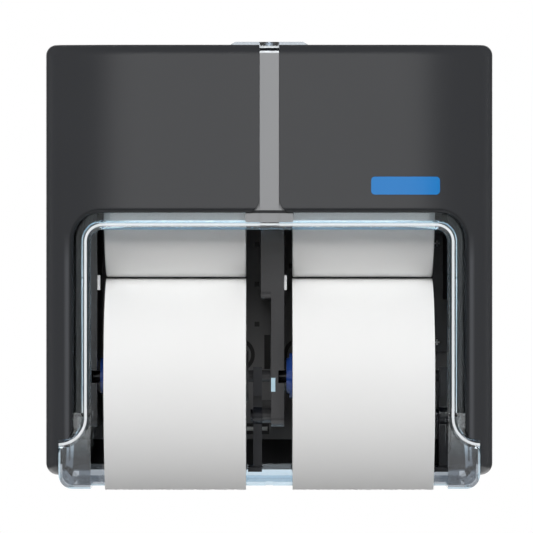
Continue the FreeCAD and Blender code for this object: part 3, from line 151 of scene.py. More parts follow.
class DispenserMarks(PropertyGroup):
    """Where the finishes of the pieces change."""

    leg_width: length_prop("Leg width", "From a shroud's side to the window", 0.019)
    badge_rise: length_prop("Badge rise", "From the window to the label", 0.012)
    window_corner: length_prop("Window corner", "Corner radius of the shrouds' window", 0.018)
    # Where the painted shade on the window's lip ends
    lip_fade: band_prop("Lip fade", "Out from the window's edge, where its lip ends", (0.0022, 0.0034))
    # Painted highlight: where the lighter line along the window's legs, called a rub, lies
    highlight_rise: band_prop("Rub rise", "Out from the window's edge, where the rub starts", (0.0026, 0.0038))
    highlight_fall: band_prop("Rub fall", "Out from the window's edge, where the rub ends", (0.005, 0.0068))
    highlight_top: band_prop("Rub top", "Heights over which the rubbed line ends", (0.0, 0.02))
    # How far below the back plate's faces the painted shade of the recesses starts
    recess_skin: length_prop("Recess skin", "From the back plate's faces to its black recesses", 0.0004)
    # Painted shade: radius of the black at a hub's middle
    journal_radius: length_prop("Journal radius", "Black middle of a hub", 0.0045)
    slot_depth: length_prop("Slot depth", "From a flange screw's front to its bright slot", 0.0006)
    floor_fade: band_prop("Floor fade", "Heights over which the clear floor's smoke ends", (-0.132, -0.116))
    tab_fade: band_prop("Tab fade", "Heights over which the lock tab's smoke starts", (0.1455, 0.147))
    # Painted shade: the dark line named seam, across the strip at the window's top, stands for the shade
    # under that edge
    seam: band_prop("Seam", "Dark line across the strip, from the window's top", (-0.0004, 0.0016))
    strip_half: length_prop("Strip half", "Half of the width in which the strip is frosted", 0.016)
    strip_lap: length_prop("Strip lap", "How far the frost runs below the window's top", 0.0065)
    glint_half: length_prop("Glint half", "Half of the width in which the strip's lines show", 0.008)
    glint_front: length_prop("Glint front", "Depth in front of which the strip's lines show", -0.14)
    # Painted highlights: the strip's two bright lines, with painted shade between them
    upper_glint: band_prop("Upper glint", "Upper bright line, below the shrouds' top", (0.0052, 0.0064))
    lower_glint: band_prop("Lower glint", "Lower bright line, below the shrouds' top", (0.0084, 0.0098))
    # Where the painted blue highlight along the rim's inner edge lies
    edge_fade: band_prop("Edge fade", "Out from the window's edge, where the blue ends", (-0.0098, -0.0092))
    edge_foot: band_prop("Edge foot", "Heights over which the blue edge starts", (-0.1, -0.09))
    # Where the painted highlight along the rim's crest lies
    bead_inset: length_prop("Bead inset", "From the window's edge to the rim's bright line", 0.0081)
    bead_corner: length_prop("Bead corner", "Corner radius of the rim's bright line", 0.0113)
    bead_fade: band_prop("Bead fade", "From the bright line's middle to its edge", (0.0007, 0.0011))
    bead_foot: band_prop("Bead foot", "Heights over which the upright bright line starts", (-0.106, -0.098))
    bead_front: length_prop("Bead front", "Depth in front of which the upright line shows", -0.1495)
    sweep_front: length_prop("Sweep front", "Depth in front of which the swept line shows", -0.15335)
    # Where the painted highlights on the feet's edges lie
    foot_half: length_prop("Foot half", "Outer face of a clear foot, from the middle", 0.141)
    foot_edge: length_prop("Foot edge", "Width of the bright edge of a foot", 0.0012)
    foot_top: length_prop("Foot top", "Height below which a foot's outer edge is bright", -0.122)
    foot_front: length_prop("Foot front", "Depth in front of which a foot's edges are bright", -0.1)


class DispenserPaper(PropertyGroup):
    """Sizes of the wound and hanging paper."""

    rim_round: length_prop("Rim round", "Rounding of a roll's ends", 0.0013)
    swell: length_prop("Swell", "Unevenness of a roll's outer wrap", 0.0002)
    sheet_thick: length_prop("Sheet", "Thickness of the hanging sheet", 0.0003)
    core_gap: length_prop("Core gap", "Between the core and the wound paper", 0.0001)
    torn_edge: length_prop("Torn edge", "Raggedness of the torn end", 0.0003)
    wrap_angle: FloatProperty(
        name="Wrap angle", description="How far the outer wrap runs over the working roll", default=150.0)
    roll_sides: IntProperty(name="Roll sides", description="Faces round a roll", default=192, min=48)


class DispenserSpring(PropertyGroup):
    """Sizes of the release levers' leaf springs."""

    thick: length_prop("Thickness", "Gauge of the strip", 0.0006)
    held_length: length_prop("Held length", "Part that lies on its block", 0.008)
    steps: IntProperty(name="Steps", description="Lengths that the free part is drawn in", default=10, min=1)


class DispenserStudio(PropertyGroup):
    """The camera, the floor and the room."""

    camera_distance: length_prop("Camera distance", "From the wall to the camera", 3.35)
    camera_height: length_prop("Camera height", "Above the object's origin", 0.0)
    pixel_size: FloatProperty(
        name="Pixel size", description="Width of a photo pixel at the front of the window", default=0.000669,
        precision=7, unit="LENGTH")
    window_plane: length_prop("Window plane", "Depth at which the pixel size holds", -0.150)
    centre_pixel_x: FloatProperty(
        name="Centre column", description="Photo column of the object's middle", default=269.3,
        subtype="PIXEL")
    centre_pixel_y: FloatProperty(
        name="Centre row", description="Photo row of the object's origin", default=262.0, subtype="PIXEL")
    ambient: share_prop("Ambient", "Level of the room's own light", 0.03)
    backdrop_from: share_prop("Backdrop", "How squarely a mirrored ray looks back to see white", 0.9)
    floor_drop: length_prop("Floor drop", "Floor below the object's origin", 0.8)
    floor_size: length_prop("Floor size", "Side of the square floor", 2.6)
    floor_bounce: share_prop("Floor bounce", "Paleness of the floor to light on its way", 0.15)
    floor_seen: share_prop("Floor seen", "Paleness of the floor where it shows", 0.9)
    floor_glow: share_prop("Floor glow", "Light that the floor adds where it shows", 0.8)


class DispenserSettings(PropertyGroup):
    """All settings of the dispenser."""

    finishes: PointerProperty(type=DispenserFinishes)
    marks: PointerProperty(type=DispenserMarks)
    paper: PointerProperty(type=DispenserPaper)
    spring: PointerProperty(type=DispenserSpring)
    studio: PointerProperty(type=DispenserStudio)


def settings():
    return bpy.context.scene.dispenser


# Material helpers

def material(name):
    """A new material with its principled shader."""
    made = bpy.data.materials.new(name)
    made.use_nodes = True
    return made, made.node_tree, made.node_tree.nodes["Principled BSDF"]


def add(tree, kind, values=None, **traits):
    """Adds a node, sets its traits, then its sockets by name or index."""
    made = tree.nodes.new(kind)
    for trait, value in traits.items():
        setattr(made, trait, value)
    for socket, value in (values or {}).items():
        made.inputs[socket].default_value = value
    return made


def link(tree, source, target):
    """Links (node, output) to (node, input)."""
    tree.links.new(source[0].outputs[source[1]], target[0].inputs[target[1]])


def object_place(tree, scale=(1, 1, 1), location=(0, 0, 0)):
    """Object coordinates through a mapping."""
    coords = add(tree, "ShaderNodeTexCoord")
    mapping = add(tree, "ShaderNodeMapping", {"Scale": scale, "Location": location})
    link(tree, (coords, "Object"), (mapping, "Vector"))
    return mapping


def split_place(tree):
    """The X, Y and Z of a place on the object."""
    split = add(tree, "ShaderNodeSeparateXYZ")
    link(tree, (object_place(tree), "Vector"), (split, "Vector"))
    return split


def noise(tree, place, scale, detail=3.0, roughness=0.55):
    """A noise texture's value."""
    made = add(tree, "ShaderNodeTexNoise", {"Scale": scale, "Detail": detail, "Roughness": roughness})
    link(tree, (place, "Vector"), (made, "Vector"))
    return (made, "Fac")


def spread(tree, source, low, high, start=0.0, end=1.0):
    """Maps a value that runs from start to end to a range, and holds it there outside."""
    limits = {"From Min": start, "From Max": end, "To Min": low, "To Max": high}
    made = add(tree, "ShaderNodeMapRange", limits)
    link(tree, source, (made, "Value"))
    return (made, "Result")


def rise(tree, source, band):
    """Zero before a band, one after it."""
    return spread(tree, source, 0.0, 1.0, *band)


def fall(tree, source, band):
    """One before a band, zero after it."""
    return spread(tree, source, 1.0, 0.0, *band)


def colour_mix(tree, factor, first, second):
    """A colour between two. Each is a plain colour or a (node, output)."""
    made = add(tree, "ShaderNodeMix", data_type="RGBA")
    for socket, colour in ((MIX_FIRST, first), (MIX_SECOND, second)):
        if isinstance(colour[0], bpy.types.Node):
            link(tree, colour, (made, socket))
        else:
            made.inputs[socket].default_value = (*colour, 1)
    link(tree, factor, (made, MIX_FACTOR))
    return made, MIX_RESULT


def maths(tree, operation, first, second=None):
    """A maths node. Each term is a number or a (node, output)."""
    made = add(tree, "ShaderNodeMath", operation=operation)
    for socket, term in ((0, first), (1, second)):
        if isinstance(term, tuple):
            link(tree, term, (made, socket))
        elif term is not None:
            made.inputs[socket].default_value = term
    return made, 0


def chain(tree, operation, first, *rest):
    """One maths operation over several terms."""
    for term in rest:
        first = maths(tree, operation, first, term)
    return first


def every(tree, *masks):
    """One where all masks are one."""
    return chain(tree, "MULTIPLY", *masks)


def either(tree, *masks):
    """One where any mask is one."""
    return chain(tree, "MAXIMUM", *masks)


def over(tree, source, limit):
    return maths(tree, "GREATER_THAN", source, limit)


def under(tree, source, limit):
    return maths(tree, "LESS_THAN", source, limit)


def between(tree, source, low, high):
    """One where a value lies between two limits."""
    return every(tree, over(tree, source, low), under(tree, source, high))


def diagonal(tree, *sides):
    """The length across two sides that stand at a right angle."""
    squares = [maths(tree, "POWER", side, 2.0) for side in sides]
    return maths(tree, "SQRT", maths(tree, "ADD", *squares))


def bump(tree, shader, height, strength, distance, before=None):
    """Adds relief to a shader, on top of the relief before it."""
    made = add(tree, "ShaderNodeBump", {"Strength": strength, "Distance": distance})
    link(tree, height, (made, "Height"))
    if before:
        link(tree, before, (made, "Normal"))
    link(tree, (made, "Normal"), (shader, "Normal"))
    return (made, "Normal")


def shade(colour, share):
    return tuple(c * share for c in colour)


def dress(nodes, finish):
    """Gives CAD nodes a finish in place of their plain one."""
    for name in nodes:
        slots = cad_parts[name].data.materials
        slots.clear()
        slots.append(finish)


# Finishes

def moulded_plastic(name, colour, roughness, grain, depth, cloud=0.12, uneven=0.15):
    """Moulded plastic: clouded colour, uneven gloss and a fine grain."""
    made, tree, shader = material(name)
    place = object_place(tree)
    clouds = noise(tree, place, scale=14.0)
    colours = colour_mix(tree, clouds, shade(colour, 1 - cloud), shade(colour, 1 + cloud))
    link(tree, colours, (shader, "Base Color"))
    smears = noise(tree, place, scale=60.0, detail=4.0)
    gloss = spread(tree, smears, roughness * (1 - uneven), roughness * (1 + uneven))
    link(tree, gloss, (shader, "Roughness"))
    bump(tree, shader, noise(tree, place, grain, detail=2.0), strength=0.25, distance=depth)
    return made, tree, shader, colours


def plain_plastic(name, colour, **traits):
    """Moulded plastic without marks."""
    return moulded_plastic(name, colour, **traits)[0]


def window_outline(inset):
    """The half width and top of the shrouds' window, drawn in by an inset."""
    marks = settings().marks
    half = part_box("right_shroud")[1].x - marks.leg_width
    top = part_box("badge")[0].z - marks.badge_rise
    return half - inset, top - inset


def from_outline(tree, half, top, corner):
    """The distance outside a round-cornered arch, seen from the front."""
    split = split_place(tree)
    aside = maths(tree, "SUBTRACT", maths(tree, "ABSOLUTE", (split, "X")), half - corner)
    above = maths(tree, "SUBTRACT", (split, "Z"), top - corner)
    sides = [maths(tree, "MAXIMUM", way, 0.0) for way in (aside, above)]
    return maths(tree, "SUBTRACT", diagonal(tree, *sides), corner)


def charcoal_plastic():
    """The shrouds' satin charcoal, with painted shade in black on the window's rounded lip and a painted
    highlight along its legs.
    """
    finishes = settings().finishes
    marks = settings().marks
    satin, dull = 0.3, 0.7
    made, tree, shader, colours = moulded_plastic(
        "charcoal_plastic", finishes.charcoal, satin, grain=2600.0, depth=0.00003, cloud=0.06)
    away = from_outline(tree, *window_outline(0.0), marks.window_corner)
    # Painted shade: the window's rounded lip is painted black, and dulled
    lip = fall(tree, away, marks.lip_fade)
    legs = fall(tree, (split_place(tree), "Z"), marks.highlight_top)
    # Painted highlight: a lighter line along the window's legs, for light caught where the leg rounds in
    highlighted = every(tree, rise(tree, away, marks.highlight_rise), fall(tree, away, marks.highlight_fall), legs)
    edged = colour_mix(tree, highlighted, colours, shade(finishes.charcoal, finishes.highlight_gain))
    link(tree, colour_mix(tree, lip, edged, finishes.painted_shade_black), (shader, "Base Color"))
    link(tree, spread(tree, lip, satin, dull), (shader, "Roughness"))
    return made


def plate_plastic():
    """The back plate's dull grey, with painted shade in black inside its ports, slot and rings."""
    finishes = settings().finishes
    skin = settings().marks.recess_skin
    made, tree, shader, colours = moulded_plastic(
        "plate_plastic", finishes.plate_grey, roughness=0.42, grain=1800.0, depth=0.00005)
    # Painted shade: the ports, slot and rings are painted black
    sunk = between(tree, (split_place(tree), "Y"), PLATE_FACE + skin, -skin)
    link(tree, colour_mix(tree, sunk, colours, finishes.recess_shade_black), (shader, "Base Color"))
    return made


def blue_plastic(name, axis):
    """The hubs' blue, with painted shade in black on the journal at the middle."""
    finishes = settings().finishes
    made, tree, shader, colours = moulded_plastic(
        name, finishes.hub_blue, roughness=0.24, grain=900.0, depth=0.00003)
    split = split_place(tree)
    offsets = [maths(tree, "SUBTRACT", (split, way), getattr(axis, way.lower())) for way in "YZ"]
    sides = [maths(tree, "ABSOLUTE", offset) for offset in offsets]
    # Painted shade: the journal at the hub's middle is painted black
    journal = under(tree, diagonal(tree, *sides), settings().marks.journal_radius)
    link(tree, colour_mix(tree, journal, colours, finishes.chassis_black), (shader, "Base Color"))
    return made


def clear_plastic():
    """The clear shell: frosted between the shrouds, smoky at feet, floor and tab, with painted highlights
    along its rim, inner edge, strip top and feet, and painted shade lines across the strip.
    """
    finishes = settings().finishes
    marks = settings().marks
    made, tree, shader = material("clear_plastic")
    split = split_place(tree)
    height = (split, "Z")
    aside = maths(tree, "ABSOLUTE", (split, "X"))
    frosted = strip_mask(tree, split, aside)
    # Painted highlight: the white line along the rim's crest
    bead = bead_highlight_mask(tree, split)
    # Painted highlights: bright lines on the feet's edges
    foot_highlights = foot_highlight_mask(tree, split, aside)
    # Painted highlights: two bright lines at the strip's top, with painted shade between them
    glint, dark = strip_glints(tree, split, aside)
    low = fall(tree, height, marks.floor_fade)
    foot = every(tree, low, over(tree, aside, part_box("right_lower_roll")[1].x))
    tab = rise(tree, height, marks.tab_fade)
    window_top = window_outline(0.0)[1]
    # Painted shade: the seam line across the strip
    seam = between(tree, height, window_top + marks.seam[0], window_top + marks.seam[1])
    strip = colour_mix(tree, seam, finishes.strip_grey, finishes.painted_shade_black)
    colours = finishes.clear_tint
    for mask, colour in (
            (low, finishes.floor_smoke), (foot, finishes.foot_smoke), (tab, finishes.tab_smoke),
            (edge_highlight_mask(tree, split), finishes.edge_highlight_blue), (foot_highlights, finishes.foot_highlight),
            (bead, finishes.highlight_white), (glint, finishes.highlight_white), (dark, finishes.painted_shade_black),
            (frosted, strip)):
        colours = colour_mix(tree, mask, colours, colour)
    link(tree, colours, (shader, "Base Color"))
    link(tree, spread(tree, frosted, finishes.clear_rough, finishes.frost_rough), (shader, "Roughness"))
    # The painted highlights and shade lines let little light through
    faint = maths(tree, "MULTIPLY", foot_highlights, finishes.foot_highlight_cover)
    dense = either(tree, frosted, bead, faint, glint, dark)
    link(tree, spread(tree, dense, 1.0, finishes.mark_clearness), (shader, "Transmission Weight"))
    shader.inputs["IOR"].default_value = 1.49
    ripple = noise(tree, object_place(tree), scale=9.0, detail=2.0)
    bump(tree, shader, ripple, strength=0.05, distance=0.002)
    return made


def strip_mask(tree, split, aside):
    """One on the narrow strip above the window, zero elsewhere."""
    marks = settings().marks
    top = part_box("right_shroud")[1].z - marks.lower_glint[1]
    foot = window_outline(0.0)[1] - marks.strip_lap
    return every(tree, under(tree, aside, marks.strip_half), between(tree, (split, "Z"), foot, top))


def strip_glints(tree, split, aside):
    """Painted highlights: two bright lines over the top edge of the strip, and painted shade in the dark line
    between them.
    """
    marks = settings().marks
    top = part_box("right_shroud")[1].z
    height = (split, "Z")
    on_strip = every(
        tree, under(tree, aside, marks.glint_half), under(tree, (split, "Y"), marks.glint_front))
    bright = [between(tree, height, top - end, top - start)
              for start, end in (marks.upper_glint, marks.lower_glint)]
    dark = between(tree, height, top - marks.lower_glint[0], top - marks.upper_glint[1])
    return every(tree, on_strip, either(tree, *bright)), every(tree, on_strip, dark)


def edge_highlight_mask(tree, split):
    """One on the inner edge of the rim, where it turns back beside the rolls, which takes a painted blue
    highlight.
    """
    marks = settings().marks
    away = from_outline(tree, *window_outline(0.0), marks.window_corner)
    return every(tree, fall(tree, away, marks.edge_fade), rise(tree, (split, "Z"), marks.edge_foot))


def bead_highlight_mask(tree, split):
    """One along the crest of the rim's rolled lip, and where it sweeps out to the feet: the place of a
    painted highlight.
    """
    marks = settings().marks
    outline = window_outline(marks.bead_inset)
    away = maths(tree, "ABSOLUTE", from_outline(tree, *outline, marks.bead_corner))
    depth = (split, "Y")
    height = (split, "Z")
    straight = every(
        tree, fall(tree, away, marks.bead_fade), rise(tree, height, marks.bead_foot),
        under(tree, depth, marks.bead_front))
    sweep = every(tree, under(tree, depth, marks.sweep_front), under(tree, height, marks.bead_foot[1]))
    return either(tree, straight, sweep)


def foot_highlight_mask(tree, split, aside):
    """One along the outer and lower edges of the clear feet, where a painted highlight stands for the light
    that they gather.
    """
    marks = settings().marks
    height = (split, "Z")
    outer = every(
        tree, over(tree, aside, marks.foot_half - marks.foot_edge), under(tree, height, marks.foot_top))
    lower = under(tree, height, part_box("clear_cover")[0].z + marks.foot_edge)
    return every(tree, either(tree, outer, lower), under(tree, (split, "Y"), marks.foot_front))


def metal(name, colour, roughness, stretch, worn=0.82, uneven=0.3):
    """Bare metal with a fine grain, which its stretch draws out into lines."""
    made, tree, shader = material(name)
    lines = noise(tree, object_place(tree, stretch), scale=900.0, detail=4.0)
    shader.inputs["Metallic"].default_value = 1.0
    link(tree, colour_mix(tree, lines, shade(colour, worn), colour), (shader, "Base Color"))
    gloss = spread(tree, lines, roughness * (1 - uneven), roughness * (1 + uneven))
    link(tree, gloss, (shader, "Roughness"))
    bump(tree, shader, lines, strength=0.15, distance=0.00003)
    return made


def black_screws():
    """Black screws whose cross slots are bright, which the depth below the head's face picks out."""
    finishes = settings().finishes
    made, tree, shader, colours = moulded_plastic(
        "black_screw", finishes.screw_black, roughness=0.35, grain=2000.0, depth=0.00002)
    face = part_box("flange_screws")[0].y
    slot = over(tree, (split_place(tree), "Y"), face + settings().marks.slot_depth)
    link(tree, colour_mix(tree, slot, colours, finishes.slot_bright), (shader, "Base Color"))
    return made


def tissue(name, axis_place):
    """Soft paper: fibres and a faint emboss on the wrap, wound layers on the ends."""
    made, tree, shader = material(name)
    place = object_place(tree)
    white = settings().finishes.tissue_white
    clouded, shaded = shade(white, 0.975), shade(white, 0.8)
    fibres = noise(tree, object_place(tree, scale=(1, 0.35, 0.35)), scale=2400.0, detail=4.0, roughness=0.7)
    cells = add(tree, "ShaderNodeTexVoronoi", {"Scale": 260.0}, feature="SMOOTH_F1")
    link(tree, (place, "Vector"), (cells, "Vector"))
    colours = colour_mix(tree, noise(tree, place, scale=22.0), clouded, white)
    shader.inputs["Roughness"].default_value = 0.95
    shader.inputs["Specular IOR Level"].default_value = 0.1
    shader.inputs["Sheen Weight"].default_value = 0.05
    embossed = bump(tree, shader, (cells, "Distance"), strength=0.06, distance=0.0002)
    fibrous = bump(tree, shader, fibres, strength=0.1, distance=0.0001, before=embossed)
    winding = {"Scale": 420.0, "Distortion": 1.6, "Detail": 2.0, "Detail Scale": 0.05}
    layers = add(tree, "ShaderNodeTexWave", winding, wave_type="RINGS", rings_direction="X")
    centred = object_place(tree, location=tuple(-c for c in axis_place))
    link(tree, (centred, "Vector"), (layers, "Vector"))
    ringed = every(tree, (layers, "Fac"), end_mask(tree))
    bump(tree, shader, ringed, strength=0.4, distance=0.0002, before=fibrous)
    layered = colour_mix(tree, spread(tree, ringed, low=0.0, high=0.6), colours, shaded)
    link(tree, layered, (shader, "Base Color"))
    return made


def end_mask(tree):
    """One on faces that look along X, zero on the round wrap."""
    split = add(tree, "ShaderNodeSeparateXYZ")
    link(tree, (add(tree, "ShaderNodeNewGeometry"), "Normal"), (split, "Vector"))
    return over(tree, maths(tree, "ABSOLUTE", (split, "X")), END_FACING)


def card():
    """Brown card with the slanted seam of a wound tube."""
    made, tree, shader = material("core_card")
    place = object_place(tree)
    seam = add(tree, "ShaderNodeTexWave", {"Scale": 6.0, "Distortion": 0.4}, bands_direction="DIAGONAL")
    link(tree, (place, "Vector"), (seam, "Vector"))
    brown = settings().finishes.card_brown
    dark, pale = shade(brown, 0.75), shade(brown, 1.1)
    fibres = noise(tree, place, scale=700.0, detail=5.0, roughness=0.7)
    link(tree, colour_mix(tree, fibres, dark, pale), (shader, "Base Color"))
    shader.inputs["Roughness"].default_value = 0.9
    bump(tree, shader, (seam, "Fac"), strength=0.2, distance=0.0002)
    return made


# Modelling helpers

def deselect():
    if bpy.context.object and bpy.context.object.mode != "OBJECT":
        bpy.ops.object.mode_set(mode="OBJECT")
    bpy.ops.object.select_all(action="DESELECT")


def settle(name):
    """Names the active piece and leaves its place in its mesh."""
    piece = bpy.context.object
    piece.name = name
    piece.data.name = name
    bpy.ops.object.transform_apply(location=True, rotation=True, scale=True)
    return piece


def pick(piece, kind, test):
    """In edit mode, selects only the vertices, edges or faces that pass a test."""
    bpy.ops.object.mode_set(mode="EDIT")
    bpy.ops.mesh.select_mode(type={"vertices": "VERT", "edges": "EDGE", "polygons": "FACE"}[kind])
    bpy.ops.mesh.select_all(action="DESELECT")
    bpy.ops.object.mode_set(mode="OBJECT")
    for item in getattr(piece.data, kind):
        item.select = test(item)
    bpy.ops.object.mode_set(mode="EDIT")


def thicken(piece, name, thickness):
    """Gives the active sheet its thickness, half to each side, and smooths it."""
    bpy.ops.object.mode_set(mode="OBJECT")
    wall = piece.modifiers.new(name, "SOLIDIFY")
    wall.thickness = thickness
    wall.offset = 0
    bpy.ops.object.modifier_apply(modifier=name)
    bpy.ops.object.shade_smooth_by_angle(angle=SMOOTH_ANGLE)


def ends_of(piece, edge):
    return [piece.data.vertices[i].co for i in edge.vertices]


def from_axis(point, axis):
    return math.hypot(point.y - axis.y, point.z - axis.z)


def finish_piece(piece, body, finish):
    """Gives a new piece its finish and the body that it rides."""
    piece.data.materials.append(finish)
    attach(piece, body)


# Pieces

class DISPENSER_OT_cover(Operator):
    """Finishes the two shrouds, the clear shell and the blank badge"""

    bl_idname = "dispenser.cover"
    bl_label = "Cover"

    def execute(self, context):
        dress([f"{side}_shroud" for side in SIDES], charcoal_plastic())
        dress(["clear_cover"], clear_plastic())
        dress(["badge"], plain_plastic(
            "label_plate", settings().finishes.badge_blue, roughness=0.3, grain=3000.0, depth=0.00002,
            cloud=0.04))
        return {"FINISHED"}


class DISPENSER_OT_chassis(Operator):
    """Finishes the back plate, skirt, walls, roll caps, lock housing, catch, stops and level"""

    bl_idname = "dispenser.chassis"
    bl_label = "Chassis"

    def execute(self, context):
        finishes = settings().finishes
        walls = [f"{side}_guide_wall" for side in SIDES]
        caps = [f"{side}_{tier}_cap" for side in SIDES for tier in TIERS]
        dress(["back_plate"], plate_plastic())
        dress(["bottom_skirt", "centre_divider", "lock_housing", *walls, *caps], plain_plastic(
            "chassis_plastic", finishes.chassis_black, roughness=0.36, grain=1800.0, depth=0.00005))
        dress(["divider_catch"], plain_plastic(
            "catch_plastic", finishes.catch_blue, roughness=0.2, grain=1500.0, depth=0.00002, cloud=0.05))
        dress([f"{side}_track_stop" for side in SIDES], plain_plastic(
            "stop_plastic", finishes.stop_white, roughness=0.4, grain=1500.0, depth=0.00003, cloud=0.03))
        dress(["level_vial"], plain_plastic(
            "vial_silver", finishes.vial_silver, roughness=0.25, grain=1500.0, depth=0.00002, cloud=0.05))
        return {"FINISHED"}


class DISPENSER_OT_hardware(Operator):
    """Finishes the pins, the screws, the lock and its strike plate"""

    bl_idname = "dispenser.hardware"
    bl_label = "Hardware"

    def execute(self, context):
        finishes = settings().finishes
        hinge_pins = [f"{side}_hinge_pin" for side in SIDES]
        dress([*hinge_pins, "shroud_screws", "strike_plate", "lock_cam", "cam_screw"], metal(
            "zinc_steel", finishes.zinc, roughness=0.32, stretch=LINES_ALONG_X))
        dress([f"{side}_lever_pin" for side in SIDES], metal(
            "black_steel", finishes.dark_steel, roughness=0.4, stretch=LINES_ALONG_X))
        dress(["flange_screws"], black_screws())
        dress(["lock_cylinder"], metal(
            "lock_chrome", finishes.chrome, roughness=0.12, stretch=NO_LINES))
        return {"FINISHED"}


class DISPENSER_OT_levers(Operator):
    """Finishes the dark release levers and makes their leaf springs"""

    bl_idname = "dispenser.levers"
    bl_label = "Levers"

    def execute(self, context):
        finishes = settings().finishes
        dress([f"{side}_lever" for side in SIDES], plain_plastic(
            "lever_plastic", finishes.lever_navy, roughness=0.4, grain=1200.0, depth=0.00002))
        steel = metal("spring_steel", finishes.dark_steel, roughness=0.4, stretch=LINES_ALONG_Z)
        for side in SIDES:
            leaf_spring(side, steel)
        return {"FINISHED"}


def leaf_spring(side, steel):
    """A strip held flat on its block, drawn down step by step to the lever's lower arm, which bends it."""
    sizes = settings().spring
    node = f"{side}_leaf_spring"
    low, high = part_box(node)
    middle = (low.x + high.x) / 2
    held, free = high.y - sizes.thick / 2, low.y + sizes.thick / 2
    bend = high.z - sizes.held_length
    deselect()
    bpy.ops.mesh.primitive_plane_add(size=1, location=(middle, held, high.z))
    bpy.ops.transform.resize(value=(high.x - low.x, sizes.thick, 1))
    piece = settle(f"{node}_strip")
    pick(piece, "vertices", lambda vertex: vertex.co.y > held)
    bpy.ops.mesh.delete(type="VERT")
    pick(piece, "vertices", lambda vertex: True)
    bpy.ops.transform.translate(value=(0, sizes.thick / 2, 0))
    bpy.ops.mesh.extrude_region_move(TRANSFORM_OT_translate={"value": (0, 0, bend - high.z)})
    step = (0, (free - held) / sizes.steps, (low.z - bend) / sizes.steps)
    for _ in range(sizes.steps):
        bpy.ops.mesh.extrude_region_move(TRANSFORM_OT_translate={"value": step})
    thicken(piece, "gauge", sizes.thick)
    piece.data.materials.append(steel)
    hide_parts(node)
    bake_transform(piece)


class DISPENSER_OT_rolls(Operator):
    """Models the wound rolls and finishes their cores and hubs"""

    bl_idname = "dispenser.rolls"
    bl_label = "Rolls"

    def execute(self, context):
        cores = card()
        for tier in TIERS:
            low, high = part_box(f"left_{tier}_roll")
            paper = tissue(f"tissue_{tier}", (low + high) / 2)
            hubs = blue_plastic(f"hub_plastic_{tier}", (low + high) / 2)
            for side in SIDES:
                wound_roll(side, tier, paper)
                dress([f"{side}_{tier}_hub"], hubs)
                dress([f"{side}_{tier}_core"], cores)
        return {"FINISHED"}


def wound_roll(side, tier, paper):
    """A tube of paper with rounded rims and a slightly uneven outer wrap."""
    sizes = settings().paper
    node = f"{side}_{tier}_roll"
    low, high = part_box(node)
    core_low, core_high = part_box(f"{side}_{tier}_core")
    axis = (low + high) / 2
    wrapped = 2 * sizes.sheet_thick if tier == "lower" else 0.0
    radius = (high.z - low.z) / 2 - sizes.swell - wrapped
    bore = (core_high.z - core_low.z) / 2 + sizes.core_gap
    rim = radius - sizes.rim_round
    deselect()
    bpy.ops.mesh.primitive_cylinder_add(
        vertices=sizes.roll_sides, radius=radius, depth=high.x - low.x, end_fill_type="NGON", location=axis,
        rotation=(0, math.pi / 2, 0))
    piece = settle(f"{node}_paper")
    pick(piece, "polygons", lambda face: abs(face.normal.x) > END_FACING)
    bpy.ops.mesh.inset(thickness=radius - bore, use_individual=True)
    bpy.ops.mesh.bridge_edge_loops()

    def outside(edge):
        return all(from_axis(p, axis) > rim for p in ends_of(piece, edge))

    def lengthwise(edge):
        first, second = ends_of(piece, edge)
        return abs(first.x - second.x) > sizes.rim_round

    def at_end(edge):
        return all(min(p.x - low.x, high.x - p.x) < sizes.rim_round for p in ends_of(piece, edge))

    pick(piece, "edges", lambda edge: outside(edge) and lengthwise(edge))
    bpy.ops.mesh.subdivide(number_cuts=15)
    pick(piece, "edges", lambda edge: outside(edge) and at_end(edge))
    bpy.ops.mesh.bevel(offset=sizes.rim_round, segments=4, profile=0.6)
    pick(piece, "vertices", lambda vertex: from_axis(vertex.co, axis) > rim)
    bpy.ops.object.vertex_group_assign_new()
    bpy.ops.object.mode_set(mode="OBJECT")
    clouds = bpy.data.textures.new(f"{node}_swell", "CLOUDS")
    clouds.noise_scale = 0.045
    uneven = piece.modifiers.new("swell", "DISPLACE")
    uneven.texture = clouds
    uneven.strength = 2 * sizes.swell
    uneven.vertex_group = piece.vertex_groups.active.name
    bpy.ops.object.modifier_apply(modifier="swell")
    bpy.ops.object.shade_smooth_by_angle(angle=SMOOTH_ANGLE)
    finish_piece(piece, f"{side}_{tier}_roll_body", paper)
    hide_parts(node)


class DISPENSER_OT_tails(Operator):
    """Models the sheet that leaves each working roll and hangs below it"""

    bl_idname = "dispenser.tails"
    bl_label = "Hanging paper"

    def execute(self, context):
        low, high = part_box("left_lower_roll")
        paper = tissue("tissue_sheet", (low + high) / 2)
        for side in SIDES:
            hanging_sheet(side, paper)
        return {"FINISHED"}


